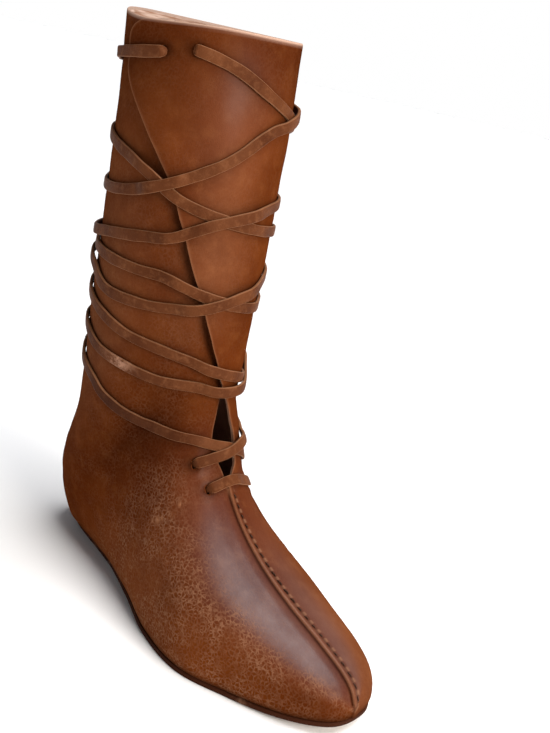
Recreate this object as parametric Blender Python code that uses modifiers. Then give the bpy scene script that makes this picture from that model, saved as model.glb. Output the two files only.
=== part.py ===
"""A soft medieval boot for the right foot: a hollow leather upper on a thin flat sole, bound with a thong.

The origin is on the ground under the heel seat, +X points to the toe, +Y to the wearer's other foot and
+Z up. A place on the upper is a station along the foot and shaft, counted in rows of STATIONS, and a
share of the way around it: 0 on the front ridge, -1 and +1 at the sole line or the back, with the
lateral (outer) side negative and the medial (inner) side positive.
"""

import bmesh
import bpy
import numpy as np
from mathutils import Matrix

MM = 0.001

# Driving dimensions
FOOT_LENGTH = 280 * MM
BALL_WIDTH = 104 * MM
UPPER_HEIGHT = 368 * MM
HEEL_SEAT = 40 * MM
WALL = 2.6 * MM
SOLE_THICK = 3.5 * MM
SOLE_EDGE_ROUND = 0.8 * MM
INSOLE_THICK = 1.8 * MM
INSOLE_INSET = 5.0 * MM
CLEAR = 0.3 * MM
TOE_SPRING = 8.0 * MM
SPRING_START = 0.73 * FOOT_LENGTH
ARCH_RISE = 1.5 * MM
ARCH_CENTRE = 0.36 * FOOT_LENGTH
ARCH_REACH = 0.16 * FOOT_LENGTH
HEEL_FAN = 2
HEEL_SPREAD = 1.6
HEEL_REACH = 3.5
HEEL_SAMPLES = 7
SOLE_HOLD = 0.4
RIM_DIP = 4.5 * MM
DIP_START = 18
DIP_PLACE = -0.5
DIP_WIDE = 0.22
HEEL_TRIM = SOLE_THICK + 0.7 * CLEAR

# Panel edges: the medial panel laps over the lateral one at the vamp seam and wraps over it up the shaft
THROAT = 6.7
THROAT_OPENS = 0.6
LAP_EASE = 9 * MM
FLAP_EASE = 45 * MM
FLAP_HOLD = 4 * MM
CORNER_RISE = 0.055
CORNER_RUN = 0.19

# The thong
THONG_WIDTH = 6.8 * MM
THONG_THICK = 2.2 * MM
THONG_CLEAR = 0.65 * MM
CROSS_CLEAR = 0.8 * MM
CROSS_REACH = 1.3 * THONG_WIDTH
THONG_STEP = 9 * MM
BEND_WEIGHT = 15 * MM
THONG_RAMP = 14 * MM
SLIT_LENGTH = 8.0 * MM
SLIT_WIDTH = 3.0 * MM
SLIT_DEPTH = 12 * MM
ROUTE_SAMPLES = 3000

# One row for each section, from the toe over the heel and up to the rim. base is where a section leaves the
# sole line or the back, top is where it meets the front ridge, wide its half widths at its fullest, wide_at
# the share of its height where that is, and full the roundness of its top (2 is an ellipse). Shares: *_x of
# FOOT_LENGTH; *_y, base_* and wide_* of BALL_WIDTH; rise and top_z of UPPER_HEIGHT; lift of WALL.
COLUMNS = ("base_x", "rise", "base_y", "base_lat", "base_med", "top_x", "top_y", "top_z",
           "wide_lat", "wide_med", "wide_at", "full", "edge_lat", "edge_med", "lift")
STATIONS = {
    "toe_tip":     (1.000, 0.000, .087, .000, .000, .994, .087, .041, .000, .000, .50, 2.2, 0, 0, .54),
    "toe_front":   (0.989, 0.000, .087, .120, .173, .979, .083, .063, .132, .178, .45, 2.2, 0, 0, .54),
    "toe_box":     (0.950, 0.000, .077, .212, .298, .943, .077, .082, .233, .308, .42, 2.2, 0, 0, .54),
    "toe_back":    (0.882, 0.000, .062, .302, .394, .875, .062, .104, .332, .413, .40, 2.2, 0, 0, .54),
    "ball_front":  (0.786, 0.000, .043, .388, .462, .775, .048, .131, .421, .481, .38, 2.2, 0, 0, .54),
    "ball":        (0.661, 0.000, .029, .494, .490, .664, .034, .169, .517, .510, .37, 2.2, 0, 0, .54),
    "waist":       (0.518, 0.000, .019, .442, .385, .575, .019, .221, .481, .452, .37, 2.2, 0, 0, .54),
    "instep":      (0.375, 0.000, .022, .310, .298, .514, .010, .275, .423, .404, .40, 2.2, -.005, .06, 1.0),
    "heel_front":  (0.232, 0.000, .040, .204, .280, .479, .000, .330, .380, .394, .42, 2.2, -.045, .075, 1.7),
    "heel_mid":    (0.100, 0.000, .055, .156, .262, .457, .000, .376, .381, .388, .45, 2.2, -.008, .03, 2.1),
    "heel_round":  (0.034, 0.000, .057, .116, .190, .446, .000, .417, .389, .389, .46, 2.1, .015, .00, 1.9),
    "heel_tip":    (0.013, 0.000, .057, .063, .098, .445, .000, .439, .396, .391, .465, 2.1, .035, -.03, 1.9),
    "heel_back":   (0.008, 0.000, .057, .000, .000, .443, .000, .458, .404, .394, .47, 2.1, .05, -.055, 1.7),
    "counter_low": (-.042, 0.052, .053, .000, .000, .443, .000, .499, .422, .406, .48, 2.1, .05, -.085, 1.55),
    "counter":     (-.036, 0.123, .047, .000, .000, .443, .000, .542, .438, .423, .50, 2.1, .03, -.117, 1.45),
    "counter_top": (0.009, 0.215, .033, .000, .000, .443, .000, .591, .451, .442, .50, 2.0, .00, -.155, 1.4),
    "ankle":       (0.029, 0.319, .010, .000, .000, .439, .000, .649, .471, .471, .50, 2.0, -.05, -.20, 1.35),
    "calf_low":    (0.029, 0.455, .000, .000, .000, .432, .000, .722, .490, .490, .50, 2.0, -.11, -.25, 1.35),
    "calf":        (0.029, 0.602, .000, .000, .000, .429, .000, .801, .500, .481, .50, 2.0, -.19, -.32, 1.35),
    "calf_high":   (0.021, 0.755, .000, .000, .000, .429, .000, .880, .500, .471, .50, 2.0, -.29, -.43, 1.35),
    "cuff":        (0.014, 0.891, .000, .000, .000, .420, .000, .946, .510, .462, .50, 2.0, -.37, -.54, 1.35),
    "rim":         (0.011, 1.000, .000, .000, .000, .411, .000, 1.00, .529, .471, .50, 2.0, -.36, -.61, 1.35),
}
NAMES = list(STATIONS)
TABLE = np.array([STATIONS[name] for name in NAMES])
HEEL_BACK = NAMES.index("heel_back")
RIM = len(NAMES) - 1
WIDTHS = [COLUMNS.index(name) for name in ("base_lat", "base_med", "wide_lat", "wide_med")]
SOLE_LINE = [COLUMNS.index(name) for name in ("base_x", "rise")]

# Mesh rows as stations, closer at the toe, the throat and the flap's round corner, and columns around
TOE_ROWS = (0, .35, .7, 1, 1.5)
THROAT_ROWS = (6.35, THROAT, 7, 7.5)
CORNER_ROWS = (RIM - .7, RIM - .45, RIM - .25, RIM - .1, RIM)
SOLE_TOE_ROWS = (.25, .5)
ROW_STEP = 0.5
COLUMNS_EACH_SIDE = 16
COLUMN_CROWDING = 1.2
SOLE_COLUMNS = 8
ROOM_TO_INSET = 2.2

# Thong heights in mm over the ground, a row for each turn and a column for each place around the shaft.
# The over strand winds from the back by the lateral side to the front, the under strand the other way.
OVER_PLACES = (-1, -.70, -.55, -.40, -.28, -.16, 0, .20, .50)
OVER_TURNS = (
    (None, None, None, None, None, 113, 118.5, 127, 156),
    (171, 173, 164, 160, 158, 159, 158, 163, 197),
    (218, 217, 205, 204, 206, 211, 222, 228, 232),
    (234, 235, 240, 245, 250, 262, 271, 275, 275),
    (270, 265, 267, 274, 284, 297, 318, 329, 335),
    (339.5, 343.5, 347, 351.5, None, None, None, None, None),
)
UNDER_PLACES = (.50, .25, 0, -.16, -.28, -.40, -.55, -.70, -1)
UNDER_TURNS = (
    (None, 110, 122, 126, 126, 128, 140, 149, 160),
    (159, 161, 169, 175, 178.5, 181, 188, 196, 203),
    (208, 211, 214, 219, 224.5, 224.5, 225, 227, 238),
    (252, 257, 262, 267, 273, 284, 291, 296, 302),
    (315, 323, 338, 351, 356.3, None, None, None, None),
)
BAR_ROUTE = ((-.10, 99.5), (.01, 102), (.13, 100), (.26, 95))

# Slits in the leather, as place around and height in mm: bar ends, strand starts and strand ends
SLITS = ((-.13, 98.5), (.29, 93.5), (-.185, 111.5), (.275, 108), (-.395, 352.3), (-.284, 356.3))

LEATHER = (0.105, 0.036, 0.018, 1)
THONG_LEATHER = (0.16, 0.066, 0.032, 1)
SOLE_LEATHER = (0.20, 0.11, 0.06, 1)
INSOLE_LEATHER = (0.24, 0.14, 0.08, 1)
GRAIN_ROUGHNESS = 0.55
FLESH_ROUGHNESS = 0.75


def smooth(share):
    """Ease from 0 to 1 as share runs from 0 to 1."""
    share = np.clip(share, 0, 1)
    return share * share * (3 - 2 * share)


def sole_top(along):
    """Height of the sole's upper face at a length from the heel's back: flat, arched, sprung at the toe."""
    spring = np.clip((along - SPRING_START) / (FOOT_LENGTH - SPRING_START), 0, None) ** 2
    arch = smooth(1 - ((along - ARCH_CENTRE) / ARCH_REACH) ** 2)
    return SOLE_THICK + TOE_SPRING * spring + ARCH_RISE * arch


def sections(station):
    """Every column of STATIONS at any station, on a smooth curve through the rows.

    Sections near the heel's back start close together on the sole line, so that the heel has no crease.
    """
    station = np.asarray(station, float)
    values = curve_through_rows(station)
    away = (station - HEEL_BACK) / HEEL_FAN
    near = np.clip(np.abs(away), 0, 1)
    slowed = HEEL_BACK + np.sign(away) * HEEL_FAN * near ** 2 * (2 - near)
    fanned = curve_through_rows(np.where(near < 1, slowed, station))
    values[..., SOLE_LINE] = fanned[..., SOLE_LINE]
    values[..., WIDTHS[:2]] = fanned[..., WIDTHS[:2]]
    return {name: values[..., i] for i, name in enumerate(COLUMNS)}


def curve_through_rows(station):
    """A smooth curve through the rows, with widths odd about the toe and the sole line round at the heel."""
    before = TABLE[1].copy()
    before[WIDTHS] *= -1
    rows = np.vstack([before, TABLE, 2 * TABLE[-1] - TABLE[-2]])
    k = np.clip(np.floor(station).astype(int), 0, RIM - 1)
    t = (station - k)[..., None]
    a, b, c, d = rows[k], rows[k + 1], rows[k + 2], rows[k + 3]
    round_heel = d.copy()
    round_heel[..., SOLE_LINE] = b[..., SOLE_LINE]
    round_heel[..., WIDTHS[:2]] = -b[..., WIDTHS[:2]]
    d = np.where((k == HEEL_BACK - 1)[..., None], round_heel, d)
    straight_up = a.copy()
    straight_up[..., SOLE_LINE] = 2 * b[..., SOLE_LINE] - c[..., SOLE_LINE]
    a = np.where((k == HEEL_BACK)[..., None], straight_up, a)
    return 0.5 * (2 * b + (c - a) * t + (2 * a - 5 * b + 4 * c - d) * t ** 2
                  + (3 * b - a - 3 * c + d) * t ** 3)


def section_wall(station, place):
    """Points of the section at each station, and the length of the half section that each lies on.

    A half section is a superellipse quarter from the ridge to the widest point, and below that an ellipse
    arc down to the sole line, in the plane from the section's base to its top. The rim dips at the outer
    front.
    """
    station, place = np.broadcast_arrays(np.asarray(station, float), np.asarray(place, float))
    row = sections(station)
    lateral = place < 0
    wide = np.maximum(np.where(lateral, row["wide_lat"], row["wide_med"]) * BALL_WIDTH, 1e-9)
    base = np.clip(np.where(lateral, row["base_lat"], row["base_med"]) * BALL_WIDTH, 0, 0.999 * wide)
    base_x = row["base_x"] * FOOT_LENGTH
    base_z = sole_top(base_x) + CLEAR + np.maximum(row["rise"], 0) * UPPER_HEIGHT
    rise_x = row["top_x"] * FOOT_LENGTH - base_x
    rise_z = SOLE_THICK + CLEAR + row["top_z"] * UPPER_HEIGHT - base_z
    tall = np.hypot(rise_x, rise_z)
    low = np.arcsin(base / wide)
    above = np.pi / 2 * np.sqrt((((1 - row["wide_at"]) * tall) ** 2 + wide ** 2) / 2)
    below = (np.pi / 2 - low) * np.sqrt(((row["wide_at"] * tall / np.cos(low)) ** 2 + wide ** 2) / 2)
    turn = above / (above + below)
    away = np.abs(place)
    upper_angle = np.pi / 2 * np.clip(1 - away / turn, 0, 1)
    lower_angle = np.pi / 2 - (np.pi / 2 - low) * np.clip((away - turn) / (1 - turn), 0, 1)
    power = 2 / row["full"]
    on_top = away <= turn
    up = np.where(on_top, row["wide_at"] + (1 - row["wide_at"]) * np.sin(upper_angle) ** power,
                  row["wide_at"] * (1 - np.cos(lower_angle) / np.cos(low)))
    out = np.where(on_top, wide * np.cos(upper_angle) ** power, wide * np.sin(lower_angle))
    x = base_x + rise_x * up - HEEL_SEAT
    y = (row["base_y"] + (row["top_y"] - row["base_y"]) * up) * BALL_WIDTH + np.where(lateral, -out, out)
    near_rim = smooth((station - DIP_START) / (RIM - DIP_START))
    dip = RIM_DIP * near_rim * np.exp(-((place - DIP_PLACE) / DIP_WIDE) ** 2)
    z = base_z + rise_z * up - dip
    return np.stack([x, y, z], -1), above + below


def wall(station, place):
    """Points of the last's outer form, and the length of the half section that each lies on.

    Around the heel each point is the mean of a few from the sections to either side, which leaves no crease
    where the sections fan out. On the sole line it stays on its own section.
    """
    station, place = np.broadcast_arrays(np.asarray(station, float), np.asarray(place, float))
    points, half = section_wall(station, place)
    half = np.array(half)
    spread = HEEL_SPREAD * smooth(1 - np.abs(station - HEEL_BACK) / HEEL_REACH)
    spread = spread * smooth((1 - np.abs(place)) / SOLE_HOLD)
    near = spread > 0
    aside = np.linspace(-1, 1, HEEL_SAMPLES)[:, None] * spread[near]
    beside, lengths = section_wall(station[near] + aside, place[near])
    points[near] = beside.mean(0)
    half[near] = lengths.mean(0)
    return points, half


def outward(along_station, along_place):
    """Unit normals out of the boot from the two directions in its surface."""
    normal = np.cross(along_place, along_station)
    return normal / np.maximum(np.linalg.norm(normal, axis=-1, keepdims=True), 1e-12)


def wrapped(turn):
    """The place around the upper that a running count of half turns falls on."""
    return (np.asarray(turn) + 1) % 2 - 1


def wall_normal(station, place):
    """Outward normals of the last, from differences along the station and around the section."""
    step = 0.02
    ahead = np.minimum(station + step, RIM)
    along_station = wall(ahead, place)[0] - wall(ahead - 2 * step, place)[0]
    closed = np.asarray(station) > HEEL_BACK
    before, after = [np.where(closed, wrapped(place + move), np.clip(place + move, -1, 1))
                     for move in (-step, step)]
    along_place = wall(station, after)[0] - wall(station, before)[0]
    return outward(along_station, along_place)


def panel_edges(station):
    """Places of the lateral panel's edge and of the medial flap's edge, both 0 below the throat."""
    row = sections(station)
    opened = np.clip((np.asarray(station) - THROAT) / THROAT_OPENS, 0, 1)
    corner = np.clip((row["top_z"] - (1 - CORNER_RISE)) / CORNER_RISE, 0, 1)
    rounded = CORNER_RUN * (1 - np.sqrt(1 - corner ** 2))
    return row["edge_lat"] * opened, row["edge_med"] * opened + rounded


def flap_height(station, place):
    """How far the medial panel stands off the last: full at its edge, easing to nothing away from it."""
    lateral_edge, flap_edge = panel_edges(station)
    points, half = wall(station, place)
    ease = np.interp(station, (THROAT, THROAT + 2), (LAP_EASE, FLAP_EASE))
    hold = np.where(np.asarray(station) > THROAT, FLAP_HOLD, 0)
    away = (place - np.maximum(lateral_edge, flap_edge)) * half - hold
    toe = np.linalg.norm(points - wall(np.zeros_like(points[..., 0]), place)[0], axis=-1)
    return sections(station)["lift"] * WALL * (1 - smooth(np.minimum(away, toe) / ease))


def seat_height(station, place):
    """Height that a thong lies at: on the flap, on the lateral panel, or on the slope to the flap's edge."""
    flap_edge = panel_edges(station)[1]
    half = wall(station, place)[1]
    slope = smooth(((flap_edge - place) * half - THONG_STEP) / THONG_RAMP)
    edge_height = flap_height(station, np.maximum(place, flap_edge))
    return edge_height * (1 - slope)


def new_object(name, vertices, faces, colour, roughness, collection):
    """A named object from a surface, smooth shaded, with its own leather material."""
    mesh = bpy.data.meshes.new(name)
    mesh.from_pydata([tuple(v) for v in vertices], [], faces)
    mesh.validate()
    made = bpy.data.objects.new(name, mesh)
    collection.objects.link(made)
    material = bpy.data.materials.new(name)
    material.use_nodes = True
    shader = material.node_tree.nodes["Principled BSDF"]
    shader.inputs["Base Color"].default_value = colour
    shader.inputs["Roughness"].default_value = roughness
    mesh.materials.append(material)
    mesh.shade_smooth()
    return made


def weld(made, distance=0.00001):
    """Join the vertices that meet along a seam."""
    work = bmesh.new()
    work.from_mesh(made.data)
    bmesh.ops.remove_doubles(work, verts=work.verts, dist=distance)
    work.to_mesh(made.data)
    work.free()


def shell(made, thickness, offset):
    """Thicken an open surface to a closed wall."""
    solid = made.modifiers.new("wall", "SOLIDIFY")
    solid.thickness = thickness
    solid.offset = offset


def upper_stations():
    """Stations of the upper's rows, from the toe to the rim."""
    vamp = np.arange(TOE_ROWS[-1] + ROW_STEP, THROAT_ROWS[0], ROW_STEP)
    shaft = np.arange(THROAT_ROWS[-1] + ROW_STEP, CORNER_ROWS[0], ROW_STEP)
    return np.concatenate([TOE_ROWS, vamp, THROAT_ROWS, shaft, CORNER_ROWS])


def make_upper(collection, cutter):
    """The upper: a sheet over the last, lapped at the vamp, split and wrapped at the shaft, then thickened."""
    columns = COLUMNS_EACH_SIDE
    station = upper_stations()[:, None]
    share = np.linspace(0, 1, columns)[None, :] ** COLUMN_CROWDING
    lateral_edge, flap_edge = panel_edges(station)
    lateral = lateral_edge + (-1 - lateral_edge) * share[:, ::-1]
    medial = flap_edge + (1 - flap_edge) * share
    place = np.concatenate([lateral, medial], 1)
    stations = np.broadcast_to(station, place.shape)
    points = wall(stations, place)[0]
    height = np.where(np.arange(2 * columns) < columns, 0, flap_height(stations, place))
    normal = wall_normal(stations, place)
    normal[..., 2] = np.maximum(normal[..., 2], 0)
    points = points + normal * height[..., None]
    rows, across = place.shape
    index = np.arange(rows * across).reshape(rows, across)
    faces = []
    for i in range(rows - 1):
        for j in range(across - 1):
            if j == columns - 1 and station[i + 1, 0] > THROAT:
                continue
            faces.append((index[i, j], index[i, j + 1], index[i + 1, j + 1], index[i + 1, j]))
    for j in range(columns - 1):
        left = columns - 1 - j
        right = columns + j
        faces.append((index[0, left], index[0, left - 1], index[0, right + 1], index[0, right]))
    faces = [tuple(map(int, face)) for face in faces]
    made = new_object("upper", points.reshape(-1, 3), faces, LEATHER, GRAIN_ROUGHNESS, collection)
    weld(made)
    shell(made, WALL, -1)
    cut = made.modifiers.new("thong slits", "BOOLEAN")
    cut.operation = "DIFFERENCE"
    cut.solver = "EXACT"
    cut.object = cutter


def sole_sheet(grow, up):
    """Grid over the sole line, grown outward in plan and lifted, with one vertex at the toe and the heel."""
    station = np.concatenate([SOLE_TOE_ROWS, np.arange(1, HEEL_BACK, ROW_STEP)])
    row = sections(station)
    narrowest = np.minimum(row["base_lat"], row["base_med"]) * BALL_WIDTH
    station = station[narrowest > -ROOM_TO_INSET * grow]
    across = np.linspace(0, 1, SOLE_COLUMNS)
    step = 0.01

    def edge(place, at):
        return wall(at, place)[0][..., :2]

    sides = []
    for place, turn in ((-1, 1), (1, -1)):
        along = edge(place, station + step) - edge(place, station - step)
        along /= np.linalg.norm(along, axis=1, keepdims=True)
        sides.append(edge(place, station) + grow * turn * np.stack([-along[:, 1], along[:, 0]], 1))
    inside = sides[0][:, None] + (sides[1] - sides[0])[:, None] * across[None, :, None]
    ends = np.array([edge(1, np.array(0.0)), edge(1, np.array(float(HEEL_BACK)))]) + [[grow, 0], [-grow, 0]]
    plan = np.vstack([inside.reshape(-1, 2), ends])
    vertices = np.column_stack([plan, sole_top(plan[:, 0] + HEEL_SEAT) + up])
    rows, columns = inside.shape[:2]
    index = np.arange(rows * columns).reshape(rows, columns)
    toe = rows * columns
    heel = toe + 1
    faces = []
    for j in range(columns - 1):
        faces.append((toe, int(index[0, j + 1]), int(index[0, j])))
        faces.append((heel, int(index[-1, j]), int(index[-1, j + 1])))
        for i in range(rows - 1):
            quad = (index[i, j], index[i, j + 1], index[i + 1, j + 1], index[i + 1, j])
            faces.append(tuple(map(int, quad)))
    return vertices, faces


def make_outsole(collection):
    """The sole: the sole line's outline, flat at heel and ball, arched and sprung, with eased edges."""
    vertices, faces = sole_sheet(0, 0)
    made = new_object("outsole", vertices, faces, SOLE_LEATHER, FLESH_ROUGHNESS, collection)
    shell(made, SOLE_THICK, -1)
    rounded = made.modifiers.new("eased edge", "BEVEL")
    rounded.width = SOLE_EDGE_ROUND
    rounded.segments = 2
    rounded.limit_method = "ANGLE"
    rounded.angle_limit = np.radians(50)


def make_insole(collection):
    """The loose sock that lies on the sole inside the upper's wall."""
    vertices, faces = sole_sheet(-INSOLE_INSET, CLEAR)
    made = new_object("insole", vertices, faces, INSOLE_LEATHER, FLESH_ROUGHNESS, collection)
    shell(made, INSOLE_THICK, 1)


def station_at(place, height):
    """The station where the last has a given height at a place around it, by halving the interval."""
    low = np.full(np.shape(place), float(NAMES.index("ball")))
    high = np.full(np.shape(place), float(RIM))
    halvings = 30
    for _ in range(halvings):
        middle = (low + high) / 2
        short = wall(middle, place)[0][..., 2] < height
        low = np.where(short, middle, low)
        high = np.where(short, high, middle)
    return (low + high) / 2


def spot(turn, height):
    """Point of the last at a running turn and a height, with its station and place."""
    place = wrapped(turn)
    station = station_at(place, height)
    return wall(station, place)[0], station, place


def turns_route(places, turns, way):
    """Running turn and height of each filled cell of a table of turns, way +1 or -1 around the boot."""
    route = []
    for count, row in enumerate(turns):
        for place, height in zip(places, row):
            if height is not None:
                route.append((place + 2 * way * count, height))
    return route


def smooth_route(route):
    """Turns and heights on a smooth curve through the rows of a route, closer where the upper bends."""
    turn, height = np.array(route, float).T
    height = height * MM
    slope = np.gradient(height, turn)
    fine = np.linspace(turn[0], turn[-1], ROUTE_SAMPLES)
    order = 1 if turn[-1] > turn[0] else -1
    k = np.clip(np.searchsorted(turn * order, fine * order) - 1, 0, len(turn) - 2)
    span = turn[k + 1] - turn[k]
    t = (fine - turn[k]) / span
    rise = (height[k] * (1 + 2 * t) * (1 - t) ** 2 + height[k + 1] * t ** 2 * (3 - 2 * t)
            + span * (slope[k] * t * (1 - t) ** 2 - slope[k + 1] * t ** 2 * (1 - t)))
    points, station, place = spot(fine, rise)
    bend = BEND_WEIGHT * np.linalg.norm(np.diff(wall_normal(station, place), axis=0), axis=1)
    run = np.concatenate([[0], np.cumsum(np.linalg.norm(np.diff(points, axis=0), axis=1) + bend)])
    even = np.linspace(0, run[-1], int(round(run[-1] / THONG_STEP)) + 1)
    return np.interp(even, run, fine), np.interp(even, run, rise)


def strip_edges(turn, height):
    """Turn and height of a strip's two edges, half its width to each side of its middle on the surface."""
    nudge = 0.004
    lift = 0.4 * MM
    middle = spot(turn, height)[0]
    by_turn = (spot(turn + nudge, height)[0] - spot(turn - nudge, height)[0]) / (2 * nudge)
    by_height = (spot(turn, height + lift)[0] - spot(turn, height - lift)[0]) / (2 * lift)
    along = np.gradient(middle, axis=0)
    along /= np.linalg.norm(along, axis=1, keepdims=True)
    side = np.cross(outward(by_height, by_turn), along) * THONG_WIDTH / 2
    tt = (by_turn * by_turn).sum(1)
    hh = (by_height * by_height).sum(1)
    th = (by_turn * by_height).sum(1)
    st = (side * by_turn).sum(1)
    sh = (side * by_height).sum(1)
    area = tt * hh - th ** 2
    turn_step = (st * hh - sh * th) / area
    height_step = (sh * tt - st * th) / area
    return [(turn + sign * turn_step, height + sign * height_step) for sign in (-1, 1)]


def make_thong(name, route, collection, beneath=None):
    """A flat strip laid on the upper along a route, stepping over the strip beneath where they cross."""
    turn, height = smooth_route(route)
    middle = spot(turn, height)[0]
    raised = np.zeros(len(turn))
    if beneath is not None:
        apart = np.linalg.norm(middle[:, None] - beneath[None], axis=2).min(1)
        raised = (THONG_THICK + CROSS_CLEAR) * (1 - smooth((apart - CROSS_REACH) / THONG_RAMP))
    corners = []
    for edge_turn, edge_height in strip_edges(turn, height):
        points, station, place = spot(edge_turn, edge_height)
        normal = wall_normal(station, place)
        seat = seat_height(station, place) + THONG_CLEAR + raised
        corners.append(points + normal * seat[:, None])
        corners.append(points + normal * (seat + THONG_THICK)[:, None])
    ring = np.stack([corners[0], corners[2], corners[3], corners[1]], 1)
    count = len(ring)
    faces = [(0, 1, 2, 3), tuple(4 * (count - 1) + k for k in (3, 2, 1, 0))]
    for i in range(count - 1):
        for k in range(4):
            n = (k + 1) % 4
            faces.append((4 * i + k, 4 * i + 4 + k, 4 * i + 4 + n, 4 * i + n))
    made = new_object(name, ring.reshape(-1, 3), faces, THONG_LEATHER, GRAIN_ROUGHNESS, collection)
    work = bmesh.new()
    work.from_mesh(made.data)
    bmesh.ops.recalc_face_normals(work, faces=work.faces)
    work.to_mesh(made.data)
    work.free()
    return middle


def make_slit_cutter(collection):
    """One cutter: a narrow block at each slit, and a slab that trims the wall flat at the heel."""
    work = bmesh.new()
    slab = Matrix.Diagonal((2 * HEEL_SEAT, 2 * BALL_WIDTH, 2 * HEEL_TRIM, 1))
    bmesh.ops.create_cube(work, size=1, matrix=Matrix.Translation((-HEEL_SEAT, 0, 0)) @ slab)
    for turn, height in SLITS:
        around = np.array([turn])
        point, station, place = spot(around, np.array([height * MM]))
        normal = wall_normal(station, place)[0]
        up = (spot(around, np.array([(height + 1) * MM]))[0] - point)[0]
        up /= np.linalg.norm(up)
        across = np.cross(up, normal)
        on_flap = place >= panel_edges(station)[1]
        centre = (point + normal * np.where(on_flap, flap_height(station, place), 0))[0]
        turned = Matrix((across, up, normal)).transposed().to_4x4()
        size = Matrix.Diagonal((SLIT_WIDTH, SLIT_LENGTH, SLIT_DEPTH, 1))
        bmesh.ops.create_cube(work, size=1, matrix=Matrix.Translation(centre) @ turned @ size)
    mesh = bpy.data.meshes.new("slit cutter")
    work.to_mesh(mesh)
    work.free()
    made = bpy.data.objects.new("slit cutter", mesh)
    made.hide_render = True
    made.display_type = "WIRE"
    collection.objects.link(made)
    return made


def main():
    for old in list(bpy.data.objects):
        bpy.data.objects.remove(old, do_unlink=True)
    parts = bpy.data.collections.new("medieval boot")
    cutters = bpy.data.collections.new("cutters")
    bpy.context.scene.collection.children.link(parts)
    bpy.context.scene.collection.children.link(cutters)
    make_upper(parts, make_slit_cutter(cutters))
    make_outsole(parts)
    make_insole(parts)
    under = make_thong("thong_under", turns_route(UNDER_PLACES, UNDER_TURNS, -1), parts)
    make_thong("thong_over", turns_route(OVER_PLACES, OVER_TURNS, 1), parts, under)
    make_thong("thong_lower_bar", BAR_ROUTE, parts)


main()
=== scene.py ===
"""Looks of a soft medieval boot for the right foot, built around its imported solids.

The frame is the solids' own: the origin on the ground under the heel seat, +X to the toe, +Y to the inner
side and +Z up, in metres. A place on the upper is a station along the foot and shaft, counted in rows of
STATIONS, and a share of the way around: 0 on the front ridge, -1 and +1 at the sole line or the back, with
the lateral (outer) side negative and the medial (inner) side positive.
"""

from types import SimpleNamespace

import bmesh
import bpy
import numpy as np
from mathutils import Matrix, Vector


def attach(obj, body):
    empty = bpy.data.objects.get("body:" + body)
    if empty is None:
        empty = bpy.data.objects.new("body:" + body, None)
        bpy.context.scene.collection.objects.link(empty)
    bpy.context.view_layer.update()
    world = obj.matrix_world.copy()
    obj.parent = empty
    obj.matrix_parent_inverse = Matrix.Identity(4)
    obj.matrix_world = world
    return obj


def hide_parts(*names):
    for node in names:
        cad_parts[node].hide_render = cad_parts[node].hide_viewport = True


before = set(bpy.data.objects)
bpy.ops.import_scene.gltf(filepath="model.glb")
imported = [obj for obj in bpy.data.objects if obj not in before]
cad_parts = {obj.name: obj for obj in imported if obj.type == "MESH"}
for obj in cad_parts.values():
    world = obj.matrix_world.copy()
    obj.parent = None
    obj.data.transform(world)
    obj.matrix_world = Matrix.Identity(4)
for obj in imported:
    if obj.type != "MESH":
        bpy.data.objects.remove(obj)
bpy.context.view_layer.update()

MM = 0.001

# Sizes of the boot, the same as its solids
FOOT_LENGTH = 280 * MM
BALL_WIDTH = 104 * MM
UPPER_HEIGHT = 368 * MM
HEEL_SEAT = 40 * MM
WALL = 2.6 * MM
SOLE_THICK = 3.5 * MM
INSOLE_THICK = 1.8 * MM
INSOLE_INSET = 5.0 * MM
CLEAR = 0.3 * MM
TOE_SPRING = 8.0 * MM
SPRING_START = 0.73 * FOOT_LENGTH
ARCH_RISE = 1.5 * MM
ARCH_CENTRE = 0.36 * FOOT_LENGTH
ARCH_REACH = 0.16 * FOOT_LENGTH
HEEL_FAN = 2
HEEL_SPREAD = 1.6
HEEL_REACH = 3.5
HEEL_SAMPLES = 7
SOLE_HOLD = 0.4
RIM_DIP = 4.5 * MM
DIP_START = 18
DIP_PLACE = -0.5
DIP_WIDE = 0.22
THROAT = 6.7
THROAT_OPENS = 0.6
LAP_EASE = 9 * MM
FLAP_EASE = 45 * MM
FLAP_HOLD = 4 * MM
CORNER_RISE = 0.055
CORNER_RUN = 0.19
THONG_WIDTH = 6.8 * MM
THONG_THICK = 2.2 * MM
THONG_RAMP = 14 * MM
THONG_STEP = 9 * MM

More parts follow.
